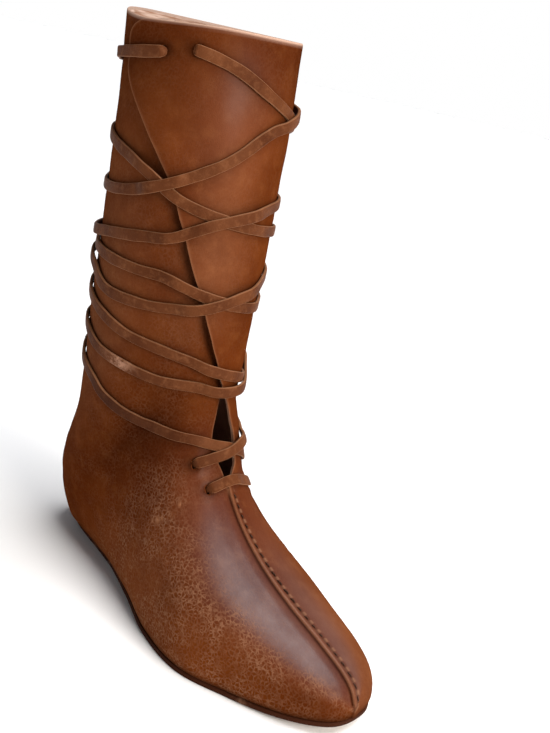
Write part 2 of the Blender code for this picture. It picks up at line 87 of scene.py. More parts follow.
# One row for each section of the last, from the toe over the heel and up to the rim
COLUMNS = ("base_x", "rise", "base_y", "base_lat", "base_med", "top_x", "top_y", "top_z",
           "wide_lat", "wide_med", "wide_at", "full", "edge_lat", "edge_med", "lift")
STATIONS = {
    "toe_tip":     (1.000, 0.000, .087, .000, .000, .994, .087, .041, .000, .000, .50, 2.2, 0, 0, .54),
    "toe_front":   (0.989, 0.000, .087, .120, .173, .979, .083, .063, .132, .178, .45, 2.2, 0, 0, .54),
    "toe_box":     (0.950, 0.000, .077, .212, .298, .943, .077, .082, .233, .308, .42, 2.2, 0, 0, .54),
    "toe_back":    (0.882, 0.000, .062, .302, .394, .875, .062, .104, .332, .413, .40, 2.2, 0, 0, .54),
    "ball_front":  (0.786, 0.000, .043, .388, .462, .775, .048, .131, .421, .481, .38, 2.2, 0, 0, .54),
    "ball":        (0.661, 0.000, .029, .494, .490, .664, .034, .169, .517, .510, .37, 2.2, 0, 0, .54),
    "waist":       (0.518, 0.000, .019, .442, .385, .575, .019, .221, .481, .452, .37, 2.2, 0, 0, .54),
    "instep":      (0.375, 0.000, .022, .310, .298, .514, .010, .275, .423, .404, .40, 2.2, -.005, .06, 1.0),
    "heel_front":  (0.232, 0.000, .040, .204, .280, .479, .000, .330, .380, .394, .42, 2.2, -.045, .075, 1.7),
    "heel_mid":    (0.100, 0.000, .055, .156, .262, .457, .000, .376, .381, .388, .45, 2.2, -.008, .03, 2.1),
    "heel_round":  (0.034, 0.000, .057, .116, .190, .446, .000, .417, .389, .389, .46, 2.1, .015, .00, 1.9),
    "heel_tip":    (0.013, 0.000, .057, .063, .098, .445, .000, .439, .396, .391, .465, 2.1, .035, -.03, 1.9),
    "heel_back":   (0.008, 0.000, .057, .000, .000, .443, .000, .458, .404, .394, .47, 2.1, .05, -.055, 1.7),
    "counter_low": (-.042, 0.052, .053, .000, .000, .443, .000, .499, .422, .406, .48, 2.1, .05, -.085, 1.55),
    "counter":     (-.036, 0.123, .047, .000, .000, .443, .000, .542, .438, .423, .50, 2.1, .03, -.117, 1.45),
    "counter_top": (0.009, 0.215, .033, .000, .000, .443, .000, .591, .451, .442, .50, 2.0, .00, -.155, 1.4),
    "ankle":       (0.029, 0.319, .010, .000, .000, .439, .000, .649, .471, .471, .50, 2.0, -.05, -.20, 1.35),
    "calf_low":    (0.029, 0.455, .000, .000, .000, .432, .000, .722, .490, .490, .50, 2.0, -.11, -.25, 1.35),
    "calf":        (0.029, 0.602, .000, .000, .000, .429, .000, .801, .500, .481, .50, 2.0, -.19, -.32, 1.35),
    "calf_high":   (0.021, 0.755, .000, .000, .000, .429, .000, .880, .500, .471, .50, 2.0, -.29, -.43, 1.35),
    "cuff":        (0.014, 0.891, .000, .000, .000, .420, .000, .946, .510, .462, .50, 2.0, -.37, -.54, 1.35),
    "rim":         (0.011, 1.000, .000, .000, .000, .411, .000, 1.00, .529, .471, .50, 2.0, -.36, -.61, 1.35),
}
NAMES = list(STATIONS)
TABLE = np.array([STATIONS[name] for name in NAMES])
HEEL_BACK = NAMES.index("heel_back")
RIM = len(NAMES) - 1
WIDTHS = [COLUMNS.index(name) for name in ("base_lat", "base_med", "wide_lat", "wide_med")]
SOLE_LINE = [COLUMNS.index(name) for name in ("base_x", "rise")]

# Thong heights in mm over the ground, a row for each turn and a column for each place around the shaft.
# Each strand starts and ends a little past its slit, where it has gone through to the inside.
OVER_PLACES = (-1, -.70, -.55, -.40, -.28, -.16, 0, .20, .50)
OVER_TURNS = (
    (None, None, None, None, None, 113, 118.5, 127, 156),
    (171, 173, 164, 160, 158, 159, 158, 163, 197),
    (218, 217, 205, 204, 206, 211, 222, 228, 232),
    (234, 235, 240, 245, 250, 262, 271, 275, 275),
    (270, 265, 267, 274, 284, 297, 318, 329, 335),
    (339.5, 343.5, 347, 351.5, None, None, None, None, None),
)
OVER_ENDS = ((-.222, 110.5), (9.638, 352.8))
UNDER_PLACES = (.50, .25, 0, -.16, -.28, -.40, -.55, -.70, -1)
UNDER_TURNS = (
    (None, 110, 122, 126, 126, 128, 140, 149, 160),
    (159, 161, 169, 175, 178.5, 181, 188, 196, 203),
    (208, 211, 214, 219, 224.5, 224.5, 225, 227, 238),
    (252, 257, 262, 267, 273, 284, 291, 296, 302),
    (315, 323, 338, 351, 356.3, None, None, None, None),
)
UNDER_ENDS = ((.312, 106.5), (-8.318, 357.2))
BAR_ROUTE = ((-.166, 97.5), (-.10, 99.5), (.01, 102), (.13, 100), (.26, 95), (.326, 92.3))
SLITS = ((-.13, 98.5), (.29, 93.5), (-.185, 111.5), (.275, 108), (-.395, 352.3), (-.284, 356.3))

# Values that only the looks have: how the surfaces are cut, eased at the heel and held at the back
ROUTE_SAMPLES = 6000
LINE_SAMPLES = 1500
STATION_SAMPLES = 2101
CREASE_SAMPLES = 160
UPPER_ROWS = 228
MEASURED_PLACES = (-0.97, -0.5, 0.0, 0.5, 0.97)
EDGE_STEPS = (0, .12, .3, .55, .9, 1.4, 2.0, 2.8, 3.8, 5.0)
EDGE_ROOM = 40 * MM
EVEN_COLUMNS = 88
RIM_STEPS = (.006, .018, .034)
BACK_HOLD = 0.15
HEEL_PASSES = 14
EASE_START = 0.78
EASE_RAMP = 0.08
EASE_HOLD = 0.012
SOLE_POINTS = 420
SOLE_RIM = 7
SOLE_FACE = 11
SOLE_CORE_SHORT = 9 * MM
SOLE_ROUND = 0.9 * MM
SOCK_ROUND = 0.5 * MM

# The thong's strips and the slits they go through. Each row of WAVER is a share of the width, and the
# rate and start of a sine along the strip.
STRIP_STEP = 1.6 * MM
STRIP_SIDES = 20
STRIP_SQUARE = 4.5
STRIP_CLEAR = 0.15 * MM
END_RUN = 9 * MM
END_ROWS = 24
CROSS_GAP = 0.25 * MM
CROSS_REACH = 1.12 * THONG_WIDTH
CROSS_RAMP = 7 * MM
DIVE_RUN = 7 * MM
DIVE_DEPTH = 9.5 * MM
TIP_RUN = 7.7 * MM
TIP_ROUND = 3.7 * MM
TIP_LEAST = 0.2
WAVER = ((0.035, 71, 0), (0.03, 163, 1.3), (0.02, 389, 0.6))
TILT = 0.012
TILT_RATE = 47
TILT_START = 0.8
TILT_RUN = 30 * MM
SLIT_LENGTH = 5.4 * MM
SLIT_WIDTH = 2.4 * MM
SLIT_DEPTH = 12 * MM
SLIT_SIDES = 20

# The vamp's stitches
STITCH_PITCH = 7.0 * MM
STITCH_LENGTH = 3.7 * MM
STITCH_THICK = 1.0 * MM
STITCH_IN = 2.7 * MM
STITCH_ROWS = 9
STITCH_SIDES = 8
STITCH_SHIFT = 0.7 * MM
SHIFT_RATE = 911
STITCH_VARY = 0.22
VARY_RATE = 1733
STITCH_SLANT = 0.28
PUCKER_IN = STITCH_IN + 0.8 * MM

# Small forms of the leather, in mm: height or depth, reach, and how far away the middle is
THONG_DENT = (0.45, 5.5, 0)
FLAP_GAPE = (2.2, 13, 0)
FLAP_LIP = (0.30, 0.3, 0)
LAP_LIP = (0.9, 0.28, 0)
LAP_GROOVE = (0.6, 1.5, 0)
LAP_SWELL = (0.35, 3, 4.5)
STITCH_GROOVE = (0.45, 0.7, STITCH_IN / MM)
RIM_LIP = (0.6, 0.5, 0)
SOLE_SWELL = (0.55, 4.5, 6)
SOLE_TURN = (0.7, 2.2, 0)
SLIT_RIDGE = (0.5, 2.2, 5.5)
SLIT_DENT = (0.5, 3, 0)

# Slow swells: their lengths in mm, and their height as a share of that
SWELL_LENGTHS = (70, 58, 47, 39, 33, 27, 22)
SWELL_SHARE = 0.0021
SWELL_SEED = 7

# Creases pressed into the leather: depth and half width in mm, then stations and places along each
CREASES = (
    (0.55, 3.2, ((9.6, -.72), (8.6, -.636), (7.4, -.544), (6.6, -.42), (5.8, -.26))),
    (0.40, 3.0, ((10.8, -.66), (9.4, -.55), (8.2, -.44), (7.4, -.33))),
    (0.45, 3.6, ((12.4, -.62), (11.4, -.52), (10.2, -.42), (9.2, -.33))),
    (0.35, 2.6, ((7.9, -.70), (7.0, -.60), (6.2, -.47), (5.6, -.36))),
    (0.30, 2.4, ((7.0, -.80), (6.2, -.70), (5.4, -.56))),
    (0.50, 3.4, ((9.8, .74), (8.8, .62), (7.8, .50), (7.0, .38), (6.2, .22))),
    (0.40, 3.0, ((11.6, .66), (10.4, .54), (9.2, .44), (8.4, .36))),
    (0.45, 3.4, ((12.9, .70), (12.4, .58), (11.6, .46), (10.6, .36))),
    (0.30, 2.4, ((7.0, .76), (6.2, .62), (5.4, .44), (5.0, .30))),
    (0.50, 4.0, ((13.6, -1.0), (13.5, -.88), (13.2, -.74))),
    (0.50, 4.0, ((13.6, 1.0), (13.5, .88), (13.2, .74))),
    (0.40, 3.6, ((14.7, -.96), (14.5, -.80), (14.2, -.66))),
    (0.40, 3.6, ((14.6, .98), (14.5, .82), (14.2, .68))),
)

# Pale scuffs: station, place and half width in mm
SCUFFS = ((7.0, -.472, 2.2), (6.93, -.445, 1.3), (7.1, -.50, 1.2), (6.86, -.316, 0.9))

# On the thong: a painted glint, as place and height in mm, and the height and place where its painted shade
# is darkest
STRAP_GLINT = (-.425, 162)
STRAP_GLINT_REACH = 8 * MM
STRAP_SHADE_HEIGHT = 128 * MM
STRAP_SHADE_REACH = 24 * MM
STRAP_SHADE_PLACE = -0.45
STRAP_SHADE_WIDE = 0.28

# Heights in metres over which the inside turns pale with painted light, and the cut edge turns pale with a
# painted highlight
PAINTED_LIGHT_INSIDE = (0.340, 0.370)
PALE_EDGE_AND_HIGHLIGHT = (0.3605, 0.3640)

# The stage
PICTURE_TALL = 733
FLOOR_REACH = 9.0
FLOOR_RINGS = 10
FLOOR_SIDES = 48


def smooth(share):
    """Ease from 0 to 1 as share runs from 0 to 1."""
    share = np.clip(share, 0, 1)
    return share * share * (3 - 2 * share)


def bell(distance, width):
    """A soft bell, 1 at no distance and under a fiftieth at twice the width."""
    return np.exp(-(distance / width) ** 2)


def mound(distance, form):
    """A soft mound with a form's height and reach, highest at the distance of its middle."""
    height, reach, middle = form
    return height * MM * bell(distance - middle * MM, reach * MM)


def lip(distance, form):
    """A rounded lip with a form's height and reach, falling off quickly from the edge."""
    height, reach, middle = form
    return height * MM * np.exp(-(distance - middle * MM) / (reach * MM))


def sole_top(along):
    """Height of the sole's upper face at a length from the heel's back: flat, arched, sprung at the toe."""
    spring = np.clip((along - SPRING_START) / (FOOT_LENGTH - SPRING_START), 0, None) ** 2
    arch = smooth(1 - ((along - ARCH_CENTRE) / ARCH_REACH) ** 2)
    return SOLE_THICK + TOE_SPRING * spring + ARCH_RISE * arch


def curve_through_rows(station):
    """A smooth curve through the rows, with widths odd about the toe and the sole line round at the heel."""
    before = TABLE[1].copy()
    before[WIDTHS] *= -1
    rows = np.vstack([before, TABLE, 2 * TABLE[-1] - TABLE[-2]])
    k = np.clip(np.floor(station).astype(int), 0, RIM - 1)
    t = (station - k)[..., None]
    a, b, c, d = rows[k], rows[k + 1], rows[k + 2], rows[k + 3]
    round_heel = d.copy()
    round_heel[..., SOLE_LINE] = b[..., SOLE_LINE]
    round_heel[..., WIDTHS[:2]] = -b[..., WIDTHS[:2]]
    d = np.where((k == HEEL_BACK - 1)[..., None], round_heel, d)
    straight_up = a.copy()
    straight_up[..., SOLE_LINE] = 2 * b[..., SOLE_LINE] - c[..., SOLE_LINE]
    a = np.where((k == HEEL_BACK)[..., None], straight_up, a)
    return 0.5 * (2 * b + (c - a) * t + (2 * a - 5 * b + 4 * c - d) * t ** 2
                  + (3 * b - a - 3 * c + d) * t ** 3)


def sections(station):
    """Every column of STATIONS at any station; near the heel's back they start close on the sole line."""
    station = np.asarray(station, float)
    values = curve_through_rows(station)
    away = (station - HEEL_BACK) / HEEL_FAN
    near = np.clip(np.abs(away), 0, 1)
    slowed = HEEL_BACK + np.sign(away) * HEEL_FAN * near ** 2 * (2 - near)
    fanned = curve_through_rows(np.where(near < 1, slowed, station))
    values[..., SOLE_LINE] = fanned[..., SOLE_LINE]
    values[..., WIDTHS[:2]] = fanned[..., WIDTHS[:2]]
    return {name: values[..., i] for i, name in enumerate(COLUMNS)}


def section_wall(station, place):
    """Points of the section at each station, and the length of the half section that each lies on.

    A half section is a superellipse quarter from the ridge to the widest point, and below that an ellipse
    arc down to the sole line, in the plane from the section's base to its top. The rim dips at the outer
    front.
    """
    station, place = np.broadcast_arrays(np.asarray(station, float), np.asarray(place, float))
    row = sections(station)
    lateral = place < 0
    wide = np.maximum(np.where(lateral, row["wide_lat"], row["wide_med"]) * BALL_WIDTH, 1e-9)
    base = np.clip(np.where(lateral, row["base_lat"], row["base_med"]) * BALL_WIDTH, 0, 0.999 * wide)
    base_x = row["base_x"] * FOOT_LENGTH
    base_z = sole_top(base_x) + CLEAR + np.maximum(row["rise"], 0) * UPPER_HEIGHT
    rise_x = row["top_x"] * FOOT_LENGTH - base_x
    rise_z = SOLE_THICK + CLEAR + row["top_z"] * UPPER_HEIGHT - base_z
    tall = np.hypot(rise_x, rise_z)
    low = np.arcsin(base / wide)
    above = np.pi / 2 * np.sqrt((((1 - row["wide_at"]) * tall) ** 2 + wide ** 2) / 2)
    below = (np.pi / 2 - low) * np.sqrt(((row["wide_at"] * tall / np.cos(low)) ** 2 + wide ** 2) / 2)
    turn = above / (above + below)
    away = np.abs(place)
    upper_angle = np.pi / 2 * np.clip(1 - away / turn, 0, 1)
    lower_angle = np.pi / 2 - (np.pi / 2 - low) * np.clip((away - turn) / (1 - turn), 0, 1)
    power = 2 / row["full"]
    on_top = away <= turn
    up = np.where(on_top, row["wide_at"] + (1 - row["wide_at"]) * np.sin(upper_angle) ** power,
                  row["wide_at"] * (1 - np.cos(lower_angle) / np.cos(low)))
    out = np.where(on_top, wide * np.cos(upper_angle) ** power, wide * np.sin(lower_angle))
    x = base_x + rise_x * up - HEEL_SEAT
    y = (row["base_y"] + (row["top_y"] - row["base_y"]) * up) * BALL_WIDTH + np.where(lateral, -out, out)
    near_rim = smooth((station - DIP_START) / (RIM - DIP_START))
    near_back = smooth((1 - away) / BACK_HOLD)
    dip = RIM_DIP * near_rim * near_back * bell(place - DIP_PLACE, DIP_WIDE)
    z = base_z + rise_z * up - dip
    return np.stack([x, y, z], -1), above + below


def wall(station, place):
    """Points of the last's outer form, and the length of the half section that each lies on.

    Around the heel each point is the mean of a few from the sections to either side, which leaves no crease
    where the sections fan out. On the sole line it stays on its own section.
    """
    station, place = np.broadcast_arrays(np.asarray(station, float), np.asarray(place, float))
    points, half = section_wall(station, place)
    half = np.array(half)
    spread = HEEL_SPREAD * smooth(1 - np.abs(station - HEEL_BACK) / HEEL_REACH)
    spread = spread * smooth((1 - np.abs(place)) / SOLE_HOLD)
    near = spread > 0
    aside = np.linspace(-1, 1, HEEL_SAMPLES)[:, None] * spread[near]
    beside, lengths = section_wall(station[near] + aside, place[near])
    points[near] = beside.mean(0)
    half[near] = lengths.mean(0)
    return points, half


def unit(vectors):
    """Vectors of length one."""
    return vectors / np.maximum(np.linalg.norm(vectors, axis=-1, keepdims=True), 1e-12)


def run_along(line):
    """Length along a line up to each of its points."""
    return np.concatenate([[0], np.cumsum(np.linalg.norm(np.diff(line, axis=0), axis=1))])


def wrapped(turn):
    """The place around the upper that a running count of half turns falls on."""
    return (np.asarray(turn) + 1) % 2 - 1


def wall_normal(station, place):
    """Outward normals of the last, from differences along the station and around the section."""
    step = 0.02
    ahead = np.minimum(station + step, RIM)
    along_station = wall(ahead, place)[0] - wall(ahead - 2 * step, place)[0]
    closed = np.asarray(station) > HEEL_BACK
    before, after = [np.where(closed, wrapped(place + move), np.clip(place + move, -1, 1))
                     for move in (-step, step)]
    return unit(np.cross(wall(station, after)[0] - wall(station, before)[0], along_station))


def panel_edges(station):
    """Places of the lateral panel's edge and of the medial flap's edge, both 0 below the throat."""
    row = sections(station)
    opened = np.clip((np.asarray(station) - THROAT) / THROAT_OPENS, 0, 1)
    corner = np.clip((row["top_z"] - (1 - CORNER_RISE)) / CORNER_RISE, 0, 1)
    rounded = CORNER_RUN * (1 - np.sqrt(1 - corner ** 2))
    return row["edge_lat"] * opened, row["edge_med"] * opened + rounded


def flap_height(station, place):
    """How far the medial panel stands off the last: full at its edge, easing to nothing away from it."""
    lateral_edge, flap_edge = panel_edges(station)
    points, half = wall(station, place)
    ease = np.interp(station, (THROAT, THROAT + 2), (LAP_EASE, FLAP_EASE))
    hold = np.where(np.asarray(station) > THROAT, FLAP_HOLD, 0)
    away = (place - np.maximum(lateral_edge, flap_edge)) * half - hold
    toe = np.linalg.norm(points - wall(np.zeros_like(points[..., 0]), place)[0], axis=-1)
    return sections(station)["lift"] * WALL * (1 - smooth(np.minimum(away, toe) / ease))


def seat_height(station, place):
    """Height that a thong lies at: on the flap, on the lateral panel, or on the slope to the flap's edge."""
    flap_edge = panel_edges(station)[1]
    half = wall(station, place)[1]
    slope = smooth(((flap_edge - place) * half - THONG_STEP) / THONG_RAMP)
    edge_height = flap_height(station, np.maximum(place, flap_edge))
    return edge_height * (1 - slope)


def station_at(place, height):
    """The station where the last has a given height at a place around it, by halving the interval."""
    low = np.full(np.shape(place), float(NAMES.index("ball")))
    high = np.full(np.shape(place), float(RIM))
    halvings = 30
    for _ in range(halvings):
        middle = (low + high) / 2
        short = wall(middle, place)[0][..., 2] < height
        low = np.where(short, middle, low)
        high = np.where(short, high, middle)
    return (low + high) / 2


def point_at(place, height):
    """The point of the last at a place around it and a height in mm."""
    place = np.array(place, float)
    return wall(station_at(place, height * MM), place)[0]


def nearest(points, line, chunk=1500):
    """Distance from each point to the nearest of a line's points, and that one's index."""
    flat = points.reshape(-1, 3)
    distance = np.empty(len(flat))
    index = np.empty(len(flat), int)
    for start in range(0, len(flat), chunk):
        square = ((flat[start:start + chunk, None] - line[None]) ** 2).sum(-1)
        index[start:start + chunk] = square.argmin(1)
        distance[start:start + chunk] = np.sqrt(square.min(1))
    return distance.reshape(points.shape[:-1]), index.reshape(points.shape[:-1])


def grid_faces(rows, columns, closed=False):
    """Quads of a grid of rows by columns, joined round to the first column if closed."""
    index = np.arange(rows * columns).reshape(rows, columns)
    if closed:
        index = np.concatenate([index, index[:, :1]], 1)
    return np.stack([index[:-1, :-1], index[:-1, 1:], index[1:, 1:], index[1:, :-1]], -1).reshape(-1, 4)


def new_piece(name, points, faces, finishes, marks=None, turn_out=True):
    """A named, smooth-shaded piece from points and faces, with one number per point for each mark."""
    mesh = bpy.data.meshes.new(name)
    mesh.from_pydata(points.reshape(-1, 3).tolist(), [], [list(face) for face in faces])
    for mark, values in (marks or {}).items():
        stored = mesh.attributes.new(mark, "FLOAT", "POINT")
        stored.data.foreach_set("value", np.ascontiguousarray(values, np.float32).ravel())
    for finish in finishes:
        mesh.materials.append(finish)
    work = bmesh.new()
    work.from_mesh(mesh)
    bmesh.ops.remove_doubles(work, verts=work.verts, dist=0.00001)
    if turn_out:
        bmesh.ops.recalc_face_normals(work, faces=work.faces)
    work.to_mesh(mesh)
    work.free()
    mesh.shade_smooth()
    made = bpy.data.objects.new(name, mesh)
    bpy.context.scene.collection.objects.link(made)
    return made


def turns_route(places, turns, way, ends):
    """Running turn and height of each filled cell of a table of turns, way +1 or -1, between two ends."""
    route = [ends[0]]
    for count, row in enumerate(turns):
        for place, height in zip(places, row):
            if height is not None:
                route.append((place + 2 * way * count, height))
    return route + [ends[1]]


def lay_strand(route, beneath=None):
    """A strand's middle line on the last, its normals, its run and how high its underside lies.

    Heights follow a smooth curve over the turns, sampled at even steps, closer at the ends. The underside
    lies on the panel there, a strip's thickness higher over a strand beneath, and dives through the slit
    at each end.
    """
    turn, height = np.array(route, float).T
    height = height * MM
    slope = np.gradient(height, turn)
    fine = np.linspace(turn[0], turn[-1], ROUTE_SAMPLES)
    way = np.sign(turn[-1] - turn[0])
    k = np.clip(np.searchsorted(turn * way, fine * way) - 1, 0, len(turn) - 2)
    span = turn[k + 1] - turn[k]
    t = (fine - turn[k]) / span
    rise = (height[k] * (1 + 2 * t) * (1 - t) ** 2 + height[k + 1] * t ** 2 * (3 - 2 * t)
            + span * (slope[k] * t * (1 - t) ** 2 - slope[k + 1] * t ** 2 * (1 - t)))
    fine_place = wrapped(fine)
    run = run_along(wall(station_at(fine_place, rise), fine_place)[0])
    end = np.linspace(0, END_RUN, END_ROWS)[:-1]
    long_part = np.linspace(END_RUN, run[-1] - END_RUN, int(run[-1] / STRIP_STEP) + 1)
    even = np.concatenate([end, long_part, run[-1] - end[::-1]])
    place = wrapped(np.interp(even, run, fine))
    station = station_at(place, np.interp(even, run, rise))
    points = wall(station, place)[0]
    lift = seat_height(station, place) + STRIP_CLEAR
    if beneath is not None:
        apart = nearest(points, beneath["points"])[0]
        lift = lift + (THONG_THICK + CROSS_GAP) * (1 - smooth((apart - CROSS_REACH) / CROSS_RAMP))
    dive = smooth(1 - even / DIVE_RUN) + smooth(1 - (even[-1] - even) / DIVE_RUN)
    return {"points": points, "normal": wall_normal(station, place), "run": even, "place": place,
            "lift": lift - DIVE_DEPTH * dive}


def make_strip(name, strand, finish):
    """A flat strip carried along a strand: a rounded box section, its width wavering as if cut by hand."""
    run = strand["run"]
    middle = strand["points"] + strand["normal"] * (strand["lift"] + THONG_THICK / 2)[:, None]
    along = unit(np.gradient(middle, axis=0))
    side = unit(np.cross(strand["normal"], along))
    top = np.cross(along, side)
    angle = 2 * np.pi * (np.arange(STRIP_SIDES) + 0.5) / STRIP_SIDES
    power = 2 / STRIP_SQUARE
    across = np.sign(np.cos(angle)) * np.abs(np.cos(angle)) ** power
    up = np.sign(np.sin(angle)) * np.abs(np.sin(angle)) ** power
    waver = 1 + sum(amount * np.sin(run * rate + start) for amount, rate, start in WAVER)
    from_end = np.minimum(run, run[-1] - run)
    tilt = TILT * np.sin(run * TILT_RATE + TILT_START) * np.minimum(1, from_end / TILT_RUN)
    tip = np.sqrt(np.clip(1 - np.clip((TIP_RUN - from_end) / TIP_ROUND, 0, 1) ** 2, TIP_LEAST ** 2, 1))
    out = (waver * tip)[:, None] * across * THONG_WIDTH / 2
    high = up * THONG_THICK / 2 + tilt[:, None] * out
    points = middle[:, None] + side[:, None] * out[..., None] + top[:, None] * high[..., None]
    rows = len(run)
    faces = grid_faces(rows, STRIP_SIDES, True).tolist()
    faces.append(list(range(STRIP_SIDES)))
    faces.append(list(range((rows - 1) * STRIP_SIDES, rows * STRIP_SIDES)))
    shade = bell(strand["points"][:, 2] - STRAP_SHADE_HEIGHT, STRAP_SHADE_REACH)
    shade = shade * bell(strand["place"] - STRAP_SHADE_PLACE, STRAP_SHADE_WIDE)
    # A painted glint on the thong, about one place
    wear_and_glint = bell(np.linalg.norm(points - point_at(*STRAP_GLINT), axis=-1), STRAP_GLINT_REACH)
    marks = {"cut_edge": smooth((np.abs(across) - 0.86) / 0.12), "length": run[:, None],
             "shade": shade[:, None], "wear_and_glint": wear_and_glint}
    marks = {mark: np.broadcast_to(values, (rows, STRIP_SIDES)) for mark, values in marks.items()}
    return new_piece(name, points, faces, [finish], marks)


def crease_relief(points):
    """Depth of the creases: a trough of bell section with low shoulders, fading towards its ends."""
    relief = np.zeros(points.shape[:-1])
    for depth, width, route in CREASES:
        at = np.linspace(0, len(route) - 1, CREASE_SAMPLES)
        station, place = [np.interp(at, np.arange(len(route)), values) for values in np.array(route).T]
        distance, index = nearest(points, wall(station, place)[0])
        fade = np.sin(np.pi * np.clip(at / at[-1], 0.02, 0.98)) ** 0.7
        share = (distance / (width * MM)) ** 2
        relief -= depth * MM * fade[index] * (1 - share) * np.exp(-share)
    return relief


def unevenness(points):
    """Slow swells of the leather: a few plane waves of 22 to 70 mm in fixed directions."""
    dice = np.random.default_rng(SWELL_SEED)
    relief = np.zeros(points.shape[:-1])
    for length in SWELL_LENGTHS:
        way = unit(dice.normal(size=3)) * 2 * np.pi / (length * MM)
        relief += length * np.sin(points @ way + dice.uniform(0, 2 * np.pi))
    return relief * SWELL_SHARE * MM


def upper_stations():
    """Stations a nearly even distance apart on the leather, with the throat among them."""
    fine = np.linspace(0, RIM, STATION_SAMPLES)
    run = sum(run_along(wall(fine, place)[0]) for place in MEASURED_PLACES)
    station = np.interp(np.linspace(0, run[-1], UPPER_ROWS), run, fine)
    station[np.abs(station - THROAT).argmin()] = THROAT
    return np.sort(np.concatenate([station, RIM - np.array(RIM_STEPS)]))


def from_edge(length):
    """Distances from a panel's edge along a half section: close at the edge, then even to its far end."""
    near = np.array(EDGE_STEPS) * MM * np.minimum(1, length / EDGE_ROOM)
    even = near[:, -1:] + (length - near[:, -1:]) * np.linspace(0, 1, EVEN_COLUMNS + 1)[1:]
    return np.concatenate([near, even], 1)


def seam_line():
    """The line of the vamp's stitches from the throat to the toe: its run, stations and places."""
    fine = np.linspace(THROAT - 0.12, 0.12, LINE_SAMPLES)
    place = np.minimum(STITCH_IN / wall(fine, 0.5)[1], 0.5)
    return run_along(wall(fine, place)[0]), fine, place


def ease_heel(points, stations, place):
    """Points with those at the heel's foot, where rows crowd, drawn to the mean of the rows beside them."""
    away = np.abs(place)
    share = smooth(1 - np.abs(stations - HEEL_BACK) / HEEL_FAN) * smooth((away - EASE_START) / EASE_RAMP)
    share = 0.5 * share * smooth((1 - away) / EASE_HOLD)
    for _ in range(HEEL_PASSES):
        mean = (np.roll(points, 1, 0) + np.roll(points, -1, 0)) / 2
        points = points + share[..., None] * (mean - points)
    return points


def upper_sheet(strands):
    """The upper's grid on the last, a row for each station, and each point's distance from what is near it.

    The lateral panel runs from the sole line or the back to its edge, and the medial panel from its own
    edge round to the other end.
    """
    station = upper_stations()[:, None]
    lateral_edge, flap_edge = panel_edges(station)
    lateral_far = from_edge((1 + lateral_edge) * wall(station, -0.5)[1])
    medial_far = from_edge((1 - flap_edge) * wall(station, 0.5)[1])
    lateral = lateral_edge - (1 + lateral_edge) * lateral_far / lateral_far[:, -1:]
    medial = flap_edge + (1 - flap_edge) * medial_far / medial_far[:, -1:]
    place = np.concatenate([lateral[:, ::-1], medial], 1)
    seam = lateral.shape[1]
    stations = np.broadcast_to(station, place.shape)
    on_flap = np.broadcast_to(np.arange(place.shape[1]) >= seam, place.shape)
    on_vamp = 1 - smooth((stations - THROAT + 0.3) / 0.3)
    points, half = wall(stations, place)
    normal = wall_normal(stations, place)
    normal[..., 2] = np.maximum(normal[..., 2], 0)
    thong = np.concatenate([strand["points"] for strand in strands])
    return SimpleNamespace(
        stations=stations, place=place, seam=seam, points=points, normal=unit(normal),
        on_flap=on_flap, on_vamp=on_vamp, on_shaft=smooth((stations - THROAT) / 1.5),
        lap=np.where(on_flap, on_vamp, 0), under_lap=np.where(on_flap, 0, on_vamp),
        edge_far=np.concatenate([lateral_far[:, ::-1], medial_far], 1),
        flap_far=(flap_edge - place) * half,
        thong_far=nearest(points, thong)[0],
        slit_far=np.min([np.linalg.norm(points - point_at(*slit), axis=-1) for slit in SLITS], 0),
        rim_far=points[-1:, :, 2] - points[..., 2],
        over_sole=points[..., 2] - sole_top(points[..., 0] + HEEL_SEAT))


def upper_relief(sheet):
    """How far the leather stands off the last: its lap, swells, creases, seam, dents and rounded edges."""
    stations = sheet.stations
    edge_far = sheet.edge_far
    relief = np.where(sheet.on_flap, flap_height(stations, sheet.place), 0)
    relief = relief + unevenness(sheet.points) + crease_relief(sheet.points)
    relief -= mound(sheet.thong_far, THONG_DENT) * sheet.on_shaft
    free = (1 - bell(sheet.thong_far, 11 * MM)) * smooth((stations - 8.5) / 1.5) * sheet.on_flap
    relief += mound(edge_far, FLAP_GAPE) * free
    relief -= lip(edge_far, LAP_LIP) * sheet.lap
    relief -= mound(edge_far, LAP_GROOVE) * sheet.under_lap
    relief += mound(edge_far, LAP_SWELL) * sheet.under_lap
    relief -= mound(edge_far, STITCH_GROOVE) * sheet.lap
    relief -= lip(edge_far, FLAP_LIP) * (1 - sheet.on_vamp) * smooth((RIM - 0.9 - stations) / 0.5)
    relief -= lip(sheet.rim_far, RIM_LIP)
    relief += mound(sheet.over_sole, SOLE_SWELL) - mound(sheet.over_sole, SOLE_TURN)
    relief += mound(sheet.slit_far, SLIT_RIDGE) - mound(sheet.slit_far, SLIT_DENT)
    return relief


